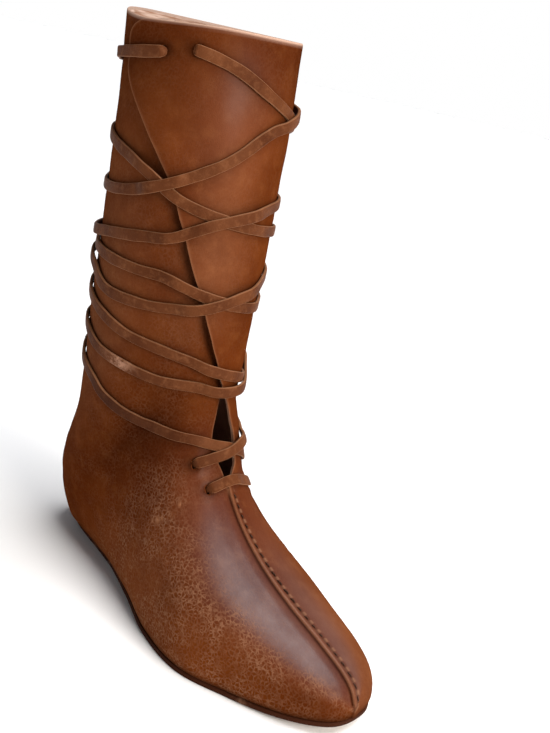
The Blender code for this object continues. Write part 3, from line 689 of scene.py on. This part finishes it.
def upper_marks(sheet, points):
    """Numbers for the looks of the upper's points: grain, burnishing with painted shadow, wear, polish with
    painted sheen, painted shade and count of stitches.
    """
    stations, place, on_flap = sheet.stations, sheet.place, sheet.on_flap
    edge_far, thong_far = sheet.edge_far, sheet.thong_far
    outer = -place
    pebble = smooth((outer - 0.12) / 0.3) * smooth((9.5 - stations) / 2.5)
    pebble *= 1 - 0.55 * smooth((3.6 - stations) / 1.8) * smooth((outer - 0.38) / 0.25)
    pebble = np.maximum(pebble, np.where(on_flap, 0.12, 0.22))

    # Dark, partly burnishing and partly painted shade, at the slits and the sole; a painted shadow along the
    # thong and beside the flap's edge; painted shade in the seam's groove and along its stitches
    shadow_and_burnish = 0.9 * bell(sheet.slit_far, 4.5 * MM) + 0.65 * bell(sheet.over_sole, 4 * MM)
    shadow_and_burnish += 0.30 * bell(thong_far, 5.5 * MM) * sheet.on_shaft
    beside = bell(sheet.flap_far - 1.5 * MM, 4.2 * MM) * smooth((19.5 - stations) / 2)
    clear_of_thong = 0.45 + 0.55 * (1 - bell(thong_far, 7 * MM))
    shadow_and_burnish += 0.8 * beside * clear_of_thong * np.where(on_flap, 0, sheet.on_shaft)
    shadow_and_burnish += 0.8 * bell(edge_far, 1.3 * MM) * sheet.under_lap
    shadow_and_burnish += 0.55 * bell(edge_far - STITCH_IN, 0.9 * MM) * sheet.lap

    # Rubbed along the panels' edges and at the scuffs
    wear_and_glint = 0.5 * bell(edge_far, 1.1 * MM) * np.where(on_flap, 1 - 0.2 * sheet.on_vamp, 1 - sheet.on_vamp)
    for station, spot, size in SCUFFS:
        scuff_far = np.linalg.norm(points - wall(station, spot)[0], axis=-1)
        wear_and_glint = np.maximum(wear_and_glint, bell(scuff_far, size * MM))

    # Polish on the outer vamp, the inner vamp and the top of the flap: a glossier coat, and a painted
    # grey-violet sheen in the colour
    polish_and_sheen = bell(stations - 3.6, 2.6) * bell(outer - 0.16, 0.24) * np.where(on_flap, 0.4, 1)
    polish_and_sheen += 0.75 * bell(stations - 2.9, 2.4) * bell(place - 0.14, 0.12) * on_flap
    polish_and_sheen += 0.18 * bell(stations - 19.2, 1.2) * bell(place + 0.13, 0.14) * on_flap

    # Painted shade, partly darker dye, at the ankle, the rim and the toe, and under the painted sheen
    shade = 0.80 * bell(stations - 10.3, 2.4) * bell(np.abs(place) - 0.36, 0.20)
    shade += 0.28 * bell(stations - 8.6, 1.6) * bell(place, 0.28)
    shade += 0.15 * bell(stations - 14.2, 1.6) * bell(place + 0.2, 0.25)
    shade += 0.34 * smooth((stations - 18.4) / 1.6) + 0.10 * bell(stations - 16, 3.5) * (1 - on_flap)
    shade += 0.30 * bell(stations - 5.1, 1.5) * bell(outer - 0.53, 0.17)
    shade += 0.42 * bell(stations - 1.8, 1.8) * smooth((outer - 0.35) / 0.3) + 0.4 * polish_and_sheen
    shade += 0.14 * bell(stations - 16, 3) * bell(place - 0.03, 0.09) * on_flap
    shade += 0.12 * bell(stations - 1.4, 1.2) * smooth((place - 0.05) / 0.1)

    # Paler leather on the calf, and a pale painted sheen on the inner vamp and the outer instep
    fade_and_sheen = 0.30 * bell(stations - 16.2, 2.4) * bell(place + 0.13, 0.12)
    fade_and_sheen += 0.24 * smooth((place - 0.02) / 0.14) * smooth((6.0 - stations) / 2.5)
    fade_and_sheen += 0.30 * bell(stations - 16.5, 2.6) * bell(np.abs(place) - 0.58, 0.2)
    fade_and_sheen += 0.10 * bell(stations - 6.3, 1.3) * smooth((outer - 0.45) / 0.2)

    run, fine = seam_line()[:2]
    return {"pebble": pebble, "shadow_and_burnish": np.clip(shadow_and_burnish, 0, 1), "wear_and_glint": wear_and_glint,
            "shade": np.clip(shade, 0, 0.9), "fade_and_sheen": fade_and_sheen, "polish_and_sheen": polish_and_sheen,
            "pucker": bell(edge_far - PUCKER_IN, 0.9 * MM) * sheet.lap,
            "stitch": np.interp(stations, fine[::-1], run[::-1]) / STITCH_PITCH,
            "pale_rim_and_highlight": bell(sheet.rim_far, 1.3 * MM)}


def make_upper(strands, finishes):
    """The upper: the last's surface moved out by its panels, seam, creases and the pull of the thong.

    The medial panel laps over the lateral one down the vamp and wraps over it up the shaft. The sheet is
    thickened inwards to a wall.
    """
    sheet = upper_sheet(strands)
    points = sheet.points + sheet.normal * upper_relief(sheet)[..., None]
    points = ease_heel(points, sheet.stations, sheet.place)
    rows, across = sheet.place.shape
    seam = sheet.seam
    faces = grid_faces(rows, across).reshape(rows - 1, across - 1, 4)
    joined = np.ones((rows - 1, across - 1), bool)
    joined[:, seam - 1] = sheet.stations[1:, 0] <= THROAT
    reach = np.arange(seam - 1)
    toe = np.stack([seam - 1 - reach, seam - 2 - reach, seam + 1 + reach, seam + reach], 1)
    made = new_piece("upper_leather", points, faces[joined].tolist() + toe.tolist(), finishes,
                     upper_marks(sheet, points), False)
    wall_made = made.modifiers.new("wall", "SOLIDIFY")
    wall_made.thickness = WALL
    wall_made.offset = -1
    wall_made.material_offset = 2
    wall_made.material_offset_rim = 1
    return made


def cut_slits(upper, finishes):
    """Six oval slits through the leather: each a stadium outline carried along the wall's normal."""
    angle = 2 * np.pi * np.arange(SLIT_SIDES) / SLIT_SIDES
    straight = (SLIT_LENGTH - SLIT_WIDTH) / 2
    outline = np.stack([np.cos(angle) * SLIT_WIDTH / 2,
                        np.sin(angle) * SLIT_WIDTH / 2 + np.sign(np.sin(angle)) * straight], 1)
    points = []
    faces = []
    for place, height in SLITS:
        place = np.array(place)
        centre = point_at(place, height)
        normal = wall_normal(station_at(place, height * MM), place)
        up = unit(point_at(place, height + 1) - centre)
        ring = centre + outline[:, :1] * np.cross(up, normal) + outline[:, 1:] * up
        start = len(points) * 2 * SLIT_SIDES
        points.append(np.stack([ring - normal * SLIT_DEPTH / 2, ring + normal * SLIT_DEPTH / 2]))
        faces += (grid_faces(2, SLIT_SIDES, True) + start).tolist()
        faces.append((start + np.arange(SLIT_SIDES)).tolist())
        faces.append((start + SLIT_SIDES + np.arange(SLIT_SIDES)).tolist())
    cutter = new_piece("slit_cutter", np.array(points), faces, finishes)
    cutter.data.polygons.foreach_set("material_index", np.ones(len(cutter.data.polygons), np.int32))
    cut = upper.modifiers.new("slits", "BOOLEAN")
    cut.operation = "DIFFERENCE"
    cut.solver = "EXACT"
    cut.object = cutter
    shown = bpy.context.evaluated_depsgraph_get()
    upper.data = bpy.data.meshes.new_from_object(upper.evaluated_get(shown))
    upper.data.name = upper.name
    upper.modifiers.clear()
    bpy.data.objects.remove(cutter, do_unlink=True)


def sole_outline(count, inset):
    """A closed line round the sole, inset in plan, with the inward ways and the points of the middle line.

    Both sides are cut at the same stations, toe to heel and back to the toe, so that they meet on the middle
    line, which stops short of the toe and the heel.
    """
    fine = np.linspace(0, HEEL_BACK, LINE_SAMPLES)
    sides = [wall(fine, place)[0][:, :2] for place in (-1.0, 1.0)]
    run = sum(run_along(side) for side in sides)
    even = np.linspace(0, run[-1], count // 2 + 1)
    lateral, medial = [np.stack([np.interp(even, run, side[:, i]) for i in (0, 1)], 1) for side in sides]
    middle = (lateral + medial)[::-1] / 2
    short = SOLE_CORE_SHORT + inset
    core_x = np.clip(middle[:, 0], middle[0, 0] + short, middle[-1, 0] - short)
    core_y = np.interp(core_x, middle[:, 0], middle[:, 1])
    middle = np.stack([core_x, core_y], 1)[::-1]
    edge = np.concatenate([lateral, medial[::-1][1:-1]])
    core = np.concatenate([middle, middle[::-1][1:-1]])
    along = unit(np.roll(edge, -2, 0) - np.roll(edge, 2, 0))
    inward = np.stack([along[:, 1], -along[:, 0]], 1)
    inward *= np.where(((core - edge) * inward).sum(1, keepdims=True) < 0, -1, 1)
    return edge + inward * inset, inward, core


def make_sole(name, inset, low, high, rounding, finishes):
    """A sole: a rounded edge section carried round the outline, and both faces drawn in to the middle line.

    low and high are the heights of its faces over the sole's upper face.
    """
    edge, inward, core = sole_outline(SOLE_POINTS, inset)
    angle = np.linspace(-np.pi / 2, np.pi / 2, SOLE_RIM)
    below, above = angle[:SOLE_RIM // 2 + 1], angle[SOLE_RIM // 2:]
    rim_in = rounding * (1 - np.cos(np.concatenate([below, above])))
    rim_up = np.concatenate([low + rounding * (1 + np.sin(below)), high - rounding * (1 - np.sin(above))])
    ring = edge[:, None] + inward[:, None] * rim_in[None, :, None]
    share = np.linspace(0, 1, SOLE_FACE + 1)[1:]
    face = ring[:, :1] + (core - ring[:, 0])[:, None] * share[None, :, None]
    plan = np.concatenate([face[:, ::-1], ring, face], 1)
    up = np.concatenate([np.full(SOLE_FACE, low), rim_up, np.full(SOLE_FACE, high)])
    height = sole_top(plan[..., 0] + HEEL_SEAT) + up[None, :]
    points = np.swapaxes(np.concatenate([plan, height[..., None]], -1), 0, 1)
    rows, across = points.shape[:2]
    side = np.pad(np.ones(len(rim_up)), SOLE_FACE)
    side = np.broadcast_to(side[:, None], (rows, across))
    return new_piece(name, points, grid_faces(rows, across, True), finishes, {"side": side})


def make_stitches(finish):
    """Saddle stitches down the vamp: short bead shapes along the medial side of the lapped seam."""
    run, fine, place = seam_line()
    middle = np.arange(STITCH_PITCH / 2, run[-1] - STITCH_PITCH / 2, STITCH_PITCH)
    middle = middle + STITCH_SHIFT * np.sin(middle * SHIFT_RATE)
    bead = np.linspace(-1, 1, STITCH_ROWS)
    half = STITCH_LENGTH / 2 * (1 + STITCH_VARY * np.sin(middle * VARY_RATE))
    from_middle = bead * half[:, None]
    at = middle[:, None] + from_middle
    station = np.interp(at, run, fine)
    spot_place = np.interp(at, run, place)
    normal = wall_normal(station, spot_place)
    thick = STITCH_THICK / 2 * (1 - 0.75 * bead ** 4)
    sunk = flap_height(station, spot_place) + (0.05 - 0.8 * bead ** 4) * MM
    centre = wall(station, spot_place)[0] + normal * sunk[..., None]
    along = unit(np.gradient(centre, axis=1))
    side = unit(np.cross(normal, along))
    slant = unit(along + STITCH_SLANT * side)
    centre = centre + (slant - along) * from_middle[..., None]
    angle = 2 * np.pi * np.arange(STITCH_SIDES) / STITCH_SIDES
    ring = (side[:, :, None] * np.cos(angle)[None, None, :, None]
            + normal[:, :, None] * np.sin(angle)[None, None, :, None])
    points = centre[:, :, None] + ring * thick[None, :, None, None]
    each = STITCH_ROWS * STITCH_SIDES
    quads = grid_faces(STITCH_ROWS, STITCH_SIDES, True)
    caps = np.array([np.arange(STITCH_SIDES), each - STITCH_SIDES + np.arange(STITCH_SIDES)])
    start = np.arange(len(points))[:, None, None] * each
    faces = (quads[None] + start).reshape(-1, 4).tolist()
    faces += (caps[None] + start).reshape(-1, STITCH_SIDES).tolist()
    return new_piece("vamp_stitches", points, faces, [finish])


class Value:
    """A shader socket for use in Python expressions: each operator on values adds one Math node."""

    def __init__(self, nodes, socket):
        self.nodes = nodes
        self.socket = socket

    def __add__(self, other):
        return self.nodes.math("ADD", self, other)

    def __sub__(self, other):
        return self.nodes.math("SUBTRACT", self, other)

    def __rsub__(self, other):
        return self.nodes.math("SUBTRACT", other, self)

    def __mul__(self, other):
        return self.nodes.math("MULTIPLY", self, other)

    __radd__ = __add__
    __rmul__ = __mul__


class Nodes:
    """A node tree in the making."""

    def __init__(self, tree):
        self.tree = tree

    def feed(self, socket, value):
        """Link a value to a socket, or set the number, vector or opaque colour on it."""
        if isinstance(value, Value):
            self.tree.links.new(value.socket, socket)
        elif socket.type == "RGBA":
            socket.default_value = (*value, 1)
        else:
            socket.default_value = value

    def node(self, kind, settings=(), sockets=(), out=0):
        """A node of a kind with its settings, then its sockets' values or links; gives one of its outputs."""
        made = self.tree.nodes.new(kind)
        for key, value in dict(settings).items():
            setattr(made, key, value)
        for key, value in dict(sockets).items():
            self.feed(made.inputs[key], value)
        return Value(self, made.outputs[out])

    def math(self, operation, *values):
        """One Math node on values or numbers."""
        return self.node("ShaderNodeMath", {"operation": operation}, enumerate(values))

    def mix(self, share, first, second):
        """A colour between two, clamped."""
        return self.node("ShaderNodeMix", {"data_type": "RGBA"}, {0: share, 6: first, 7: second}, 2)

    def layers(self, colour, *over):
        """A colour with others laid over it in turn, each given as its share and its colour."""
        for share, tint in over:
            colour = self.mix(share, colour, tint)
        return colour

    def between(self, value, low, high):
        """0 below low, 1 above high, eased between them."""
        return self.node("ShaderNodeMapRange", {"interpolation_type": "SMOOTHSTEP"},
                         {"Value": value, "From Min": low, "From Max": high})


class Finish(Nodes):
    """A material in the making: its nodes and its Principled shader."""

    def __init__(self, name):
        self.material = bpy.data.materials.new(name)
        self.material.use_nodes = True
        super().__init__(self.material.node_tree)
        self.shader = self.tree.nodes["Principled BSDF"]

    def mark(self, name):
        """A number stored on the piece's points."""
        return self.node("ShaderNodeAttribute", {"attribute_name": name}, out="Fac")

    def place(self, turn=(0, 0, 0), scale=(1, 1, 1)):
        """Object coordinates in metres, turned and stretched."""
        at = self.node("ShaderNodeTexCoord", out="Object")
        return self.node("ShaderNodeMapping", (), {"Vector": at, "Rotation": turn, "Scale": scale})

    def height(self):
        """Height over the ground in metres."""
        return self.node("ShaderNodeSeparateXYZ", (), {0: self.place()}, 2)

    def noise(self, at, scale, detail=2.0, rough=0.5):
        """Cloudy noise, scale in cycles per metre."""
        return self.node("ShaderNodeTexNoise", (), {"Vector": at, "Scale": scale, "Detail": detail,
                                                    "Roughness": rough})

    def bent(self, at, scale, amount):
        """Coordinates pushed about by noise, so that cells lose their straight sides."""
        push = self.node("ShaderNodeTexNoise", (), {"Vector": at, "Scale": scale, "Detail": 2.0}, "Color")
        centred = self.node("ShaderNodeVectorMath", {"operation": "SUBTRACT"}, {0: push, 1: (0.5, 0.5, 0.5)})
        scaled = self.node("ShaderNodeVectorMath", {"operation": "SCALE"}, {0: centred, "Scale": amount})
        return self.node("ShaderNodeVectorMath", {"operation": "ADD"}, {0: at, 1: scaled})

    def furrows(self, at, scale, width):
        """Lines between the cells of a grain, 1 in the furrow and 0 on the cell."""
        cells = self.node("ShaderNodeTexVoronoi", {"feature": "DISTANCE_TO_EDGE"},
                          {"Vector": at, "Scale": scale})
        return 1 - self.between(cells, 0.0, width)

    def surface(self, colour, roughness, height, depth, strength=1.0):
        """Feed the colour, roughness and relief to the shader."""
        self.feed(self.shader.inputs["Base Color"], colour)
        self.feed(self.shader.inputs["Roughness"], roughness)
        bump = self.node("ShaderNodeBump", (), {"Strength": strength, "Distance": depth, "Height": height})
        self.feed(self.shader.inputs["Normal"], bump)

    def sheen(self, specular, coat_roughness=0.3):
        """Set how strongly the surface and any coat on it shine, and give the material."""
        self.shader.inputs["Specular IOR Level"].default_value = specular
        self.shader.inputs["Coat Roughness"].default_value = coat_roughness
        return self.material


def boot_leather():
    """Oiled red-brown grain leather: clouded dye, a pebbled grain on the outer vamp, dark where burnished and
    where shade and shadow are painted.
    """
    made = Finish("boot_leather")
    at = made.place()
    pebble, shadow_and_burnish, polish_and_sheen = [made.mark(name) for name in ("pebble", "shadow_and_burnish", "polish_and_sheen")]
    stitch = made.mark("stitch") + 0.12 * made.noise(at, 300, 1.0)
    pucker = made.mark("pucker") * made.between(made.math("COSINE", stitch * 2 * np.pi), -0.1, 0.8)
    cloud = made.between(made.noise(at, 17, 4.0), 0.30, 0.72)
    mottle = made.noise(at, 95, 4.0, 0.6)
    pores = made.noise(at, 1500, 2.0)
    bent = made.bent(made.place((0.3, 0.2, 0.6), (1, 1.4, 1)), 330, 0.0032)
    broken = 0.35 + 0.65 * made.between(made.noise(at, 420, 2.0), 0.36, 0.62)
    furrow = made.furrows(bent, 380, 0.26) * broken
    fine = made.furrows(made.bent(at, 500, 0.0012), 900, 0.20)
    patch = 0.35 + 0.65 * made.between(made.noise(at, 55, 2.0), 0.34, 0.62)
    dye = made.layers(
        made.mix(cloud, (0.070, 0.0135, 0.0024), (0.118, 0.0275, 0.0055)),
        (made.between(mottle, 0.45, 0.75) * 0.45, (0.145, 0.0420, 0.0105)),
        # Painted shade, partly darker dye: drawn towards near black
        (made.mark("shade"), (0.022, 0.0034, 0.0006)),
        # Paler leather, and on the vamp a pale painted sheen
        (made.mark("fade_and_sheen") * (0.5 + 0.7 * mottle), (0.260, 0.1050, 0.0500)),
        # Painted sheen: the colour drawn towards grey-violet where polished
        (polish_and_sheen * 0.22, (0.110, 0.0900, 0.1080)),
        # The grain's lines drawn lighter tan: partly wax worn off the grain and partly painted highlights on
        # its ridges
        (furrow * pebble * patch * 0.62, (0.215, 0.1020, 0.0560)),
        (made.mark("wear_and_glint") * 0.6, (0.330, 0.1500, 0.0750)),
        # Raised leather between stitches drawn paler: partly wear and partly a painted highlight
        (pucker * 0.5, (0.300, 0.1500, 0.0850)),
        # Pale raw edge at the rim, with a painted highlight along it
        (made.mark("pale_rim_and_highlight") * 0.85, (0.560, 0.3700, 0.2800)),
        # Painted shade and shadow, with burnishing: drawn towards near black
        (shadow_and_burnish * 0.85, (0.008, 0.0018, 0.0005)))
    roughness = 0.42 + 0.16 * mottle + 0.08 * furrow * pebble + 0.10 * shadow_and_burnish
    height = 0.5 + 0.30 * furrow * pebble - 0.10 * fine - 0.05 * pores + 0.10 * mottle + 0.4 * pucker
    made.surface(dye, roughness, height, 0.8 * MM, 0.55)
    shine = polish_and_sheen * (0.35 + 0.9 * mottle) * (1 - 0.6 * furrow * pebble) * (1 - shadow_and_burnish)
    made.feed(made.shader.inputs["Coat Weight"], 0.76 * shine)
    return made.sheen(0.0, 0.34)


def flesh_side():
    """The napped inner side of the leather: paler, pinkish tan and dull."""
    made = Finish("flesh_side")
    at = made.place()
    nap = made.noise(at, 700, 4.0, 0.7)
    stain = made.noise(at, 22, 3.0)
    streak = made.noise(made.place((0, 0, 0), (0.2, 0.2, 3)), 260, 3.0)
    # Painted light: the inside near the rim drawn pale, in streaks
    rim = made.between(made.height(), *PAINTED_LIGHT_INSIDE) * made.between(streak, 0.35, 0.65)
    colour = made.layers(
        made.mix(made.between(stain, 0.3, 0.7), (0.21, 0.098, 0.055), (0.33, 0.175, 0.110)),
        (nap * 0.35, (0.42, 0.25, 0.17)),
        (0.8 * rim, (0.62, 0.46, 0.38)))
    made.surface(colour, 0.82 + 0.1 * nap, nap, 0.5 * MM, 0.5)
    return made.sheen(0.25)


def cut_edge():
    """The raw cut edge of the leather: tan, fibrous, rubbed in places and pale at the rim, with a painted
    highlight there.
    """
    made = Finish("cut_edge")
    at = made.place()
    fibre = made.noise(at, 900, 4.0, 0.65)
    wear_and_glint = made.noise(at, 60, 3.0)
    colour = made.layers(
        made.mix(made.between(wear_and_glint, 0.35, 0.65), (0.12, 0.045, 0.018), (0.25, 0.120, 0.060)),
        # Pale raw edge at the rim, with a painted highlight
        (0.8 * made.between(made.height(), *PALE_EDGE_AND_HIGHLIGHT), (0.68, 0.45, 0.34)),
        (fibre * 0.35, (0.11, 0.045, 0.022)))
    made.surface(colour, 0.6 + 0.2 * fibre, fibre, 0.4 * MM, 0.5)
    return made.sheen(0.35)


def thong_leather():
    """Flat cut thong: brown, in bands along its length, with paler cut edges."""
    made = Finish("thong_leather")
    at = made.place()
    band = made.noise(made.node("ShaderNodeCombineXYZ", (), {"X": made.mark("length")}), 38, 3.0)
    mottle = made.noise(at, 240, 4.0, 0.6)
    furrow = made.furrows(made.bent(at, 420, 0.0015), 620, 0.2)
    wear_and_glint = made.mark("wear_and_glint") * made.between(mottle, 0.35, 0.62)
    colour = made.layers(
        made.mix(made.between(band, 0.32, 0.68), (0.060, 0.0160, 0.0045), (0.105, 0.0330, 0.0110)),
        (made.between(mottle, 0.45, 0.8) * 0.6, (0.165, 0.0620, 0.0250)),
        (made.mark("shade") * 0.6, (0.026, 0.0060, 0.0016)),
        (made.mark("cut_edge") * (0.35 + 0.6 * mottle), (0.250, 0.1150, 0.0560)),
        # Painted glint: pale at one place on the thong
        (wear_and_glint * 0.75, (0.480, 0.2600, 0.1700)))
    height = 0.5 - 0.3 * furrow + 0.3 * mottle
    made.surface(colour, 0.46 + 0.2 * mottle, height, 0.5 * MM, 0.5)
    return made.sheen(0.04)


def sole_leather():
    """Firm sole leather: tan and scuffed below, with a darker, dirty edge."""
    made = Finish("sole_leather")
    at = made.place()
    dirt = made.noise(at, 46, 5.0, 0.62)
    scuff = made.noise(made.place((0, 0, 0.2), (0.25, 1, 1)), 420, 4.0, 0.6)
    grit = made.noise(at, 800, 3.0)
    edge = made.mix(made.between(dirt, 0.58, 0.72), (0.035, 0.009, 0.003), (0.13, 0.062, 0.034))
    colour = made.layers(
        made.mix(made.between(dirt, 0.35, 0.68), (0.150, 0.078, 0.042), (0.300, 0.185, 0.112)),
        (made.between(scuff, 0.5, 0.72) * 0.5, (0.40, 0.27, 0.18)),
        (made.mark("side"), edge))
    made.surface(colour, 0.66 + 0.2 * scuff, 0.5 * scuff + 0.4 * grit, 0.6 * MM, 0.5)
    return made.sheen(0.06)


def insole_leather():
    """A plain sock of undyed leather, darkened by the foot."""
    made = Finish("insole_leather")
    at = made.place()
    worn = made.noise(at, 26, 3.0)
    nap = made.noise(at, 650, 4.0, 0.7)
    colour = made.mix(made.between(worn, 0.35, 0.7), (0.16, 0.085, 0.045), (0.29, 0.175, 0.105))
    made.surface(colour, 0.7 + 0.2 * nap, nap, 0.4 * MM, 0.5)
    return made.sheen(0.3)


def waxed_thread():
    """Dark waxed thread with a twist."""
    made = Finish("waxed_thread")
    twist = made.node("ShaderNodeTexWave", {"bands_direction": "DIAGONAL"},
                      {"Vector": made.place(), "Scale": 520.0, "Distortion": 1.5}, "Fac")
    colour = made.mix(twist, (0.018, 0.007, 0.004), (0.050, 0.020, 0.010))
    made.surface(colour, 0.5 + 0.15 * twist, twist, 0.2 * MM, 0.6)
    return made.sheen(0.1)


def pale_floor():
    """A plain pale studio floor."""
    made = Finish("pale_floor")
    cloud = made.noise(made.place(), 3, 2.0)
    colour = made.mix(cloud * 0.3, (0.94, 0.93, 0.92), (0.88, 0.87, 0.86))
    made.surface(colour, 0.7 + 0.1 * cloud, cloud, 0.1 * MM, 0.1)
    return made.sheen(0.2)


def make_floor(finish):
    """A wide flat disc of quads about the boot, its rings wider outwards."""
    radius = FLOOR_REACH * np.linspace(0, 1, FLOOR_RINGS)[:, None] ** 2
    angle = 2 * np.pi * np.arange(FLOOR_SIDES) / FLOOR_SIDES
    points = np.stack([radius * np.cos(angle), radius * np.sin(angle),
                       np.zeros((FLOOR_RINGS, FLOOR_SIDES))], -1)
    floor = new_piece("floor", points, grid_faces(FLOOR_RINGS, FLOOR_SIDES, True).tolist(), [finish])


def add_softbox(name, place, aim, size, power, colour):
    """A square softbox at a place, turned to its aim."""
    lamp = bpy.data.lights.new(name, "AREA")
    lamp.shape = "SQUARE"
    lamp.size = size
    lamp.energy = power
    lamp.color = colour
    made = bpy.data.objects.new(name, lamp)
    made.location = place
    made.rotation_euler = (Vector(aim) - Vector(place)).to_track_quat("-Z", "Y").to_euler()
    bpy.context.scene.collection.objects.link(made)


def add_sky_panel(way, wide, strength, colour):
    """A wide soft light from far away, from a direction, its width an angle in degrees."""
    lamp = bpy.data.lights.new("sky_panel", "SUN")
    lamp.angle = np.radians(wide)
    lamp.energy = strength
    lamp.color = colour
    made = bpy.data.objects.new("sky_panel", lamp)
    made.rotation_euler = Vector(way).to_track_quat("Z", "Y").to_euler()
    bpy.context.scene.collection.objects.link(made)


def add_room(ceiling, walls):
    """A studio all round: walls as pale as the floor, and a dimmer ceiling over them."""
    world = bpy.data.worlds.new("studio")
    world.use_nodes = True
    room = Nodes(world.node_tree)
    way = room.node("ShaderNodeTexCoord", out="Generated")
    up = room.node("ShaderNodeSeparateXYZ", (), {0: way}, 2)
    colour = room.mix(room.between(up, 0.10, 0.38), walls, ceiling)
    room.feed(world.node_tree.nodes["Background"].inputs["Color"], colour)
    bpy.context.scene.world = world


def add_camera(place, azimuth, elevation, roll, focal_pixels):
    """A camera that looks down the given angles, rolled about its own line of sight."""
    turn, tip, lean = np.radians([azimuth, elevation, roll])
    back = Vector((np.sin(turn) * np.cos(tip), -np.cos(turn) * np.cos(tip), np.sin(tip)))
    right = Vector((np.cos(turn), np.sin(turn), 0))
    up = back.cross(right)
    across = right * np.cos(lean) + up * np.sin(lean)
    upright = up * np.cos(lean) - right * np.sin(lean)
    lens = bpy.data.cameras.new("camera")
    lens.sensor_width = 36
    lens.lens = focal_pixels / PICTURE_TALL * lens.sensor_width
    lens.clip_start = 0.01
    made = bpy.data.objects.new("camera", lens)
    made.matrix_world = Matrix.Translation(place) @ Matrix((across, upright, back)).transposed().to_4x4()
    bpy.context.scene.collection.objects.link(made)
    bpy.context.scene.camera = made


add_camera(place=(0.49826, -0.40754, 0.37379), azimuth=42.36, elevation=18.43, roll=12.80,
           focal_pixels=973.34)
add_room(ceiling=(0.115, 0.12, 0.13), walls=(1.0, 1.0, 1.0))
add_sky_panel(way=(0.25, 0.12, 0.95), wide=46, strength=3.3, colour=(0.97, 0.98, 1.0))
add_softbox("front_key", place=(1.55, -0.10, 0.80), aim=(0.05, 0, 0.22), size=0.7, power=28,
            colour=(1.0, 0.95, 0.88))
bpy.context.scene.view_settings.view_transform = "Standard"

leather = boot_leather()
flesh = flesh_side()
edge = cut_edge()
thong = thong_leather()
panels = [leather, edge, flesh]

under = lay_strand(turns_route(UNDER_PLACES, UNDER_TURNS, -1, UNDER_ENDS))
over = lay_strand(turns_route(OVER_PLACES, OVER_TURNS, 1, OVER_ENDS), under)
bar = lay_strand(BAR_ROUTE)
upper = make_upper([under, over], panels)
cut_slits(upper, panels)
pieces = [
    (upper, "upper", "upper_leather"),
    (make_sole("sole", 0, -SOLE_THICK, 0, SOLE_ROUND, [sole_leather()]), "outsole", "sole_leather"),
    (make_sole("sock", INSOLE_INSET, CLEAR, CLEAR + INSOLE_THICK, SOCK_ROUND, [insole_leather()]),
     "insole", "insole_leather"),
    (make_strip("thong_under_strip", under, thong), "thong_under", "thong_leather"),
    (make_strip("thong_over_strip", over, thong), "thong_over", "thong_leather"),
    (make_strip("thong_bar_strip", bar, thong), "thong_lower_bar", "thong_leather"),
]
for piece, node, slot in pieces:
    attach(piece, "root")
    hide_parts(node)
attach(make_stitches(waxed_thread()), "root")
make_floor(pale_floor())
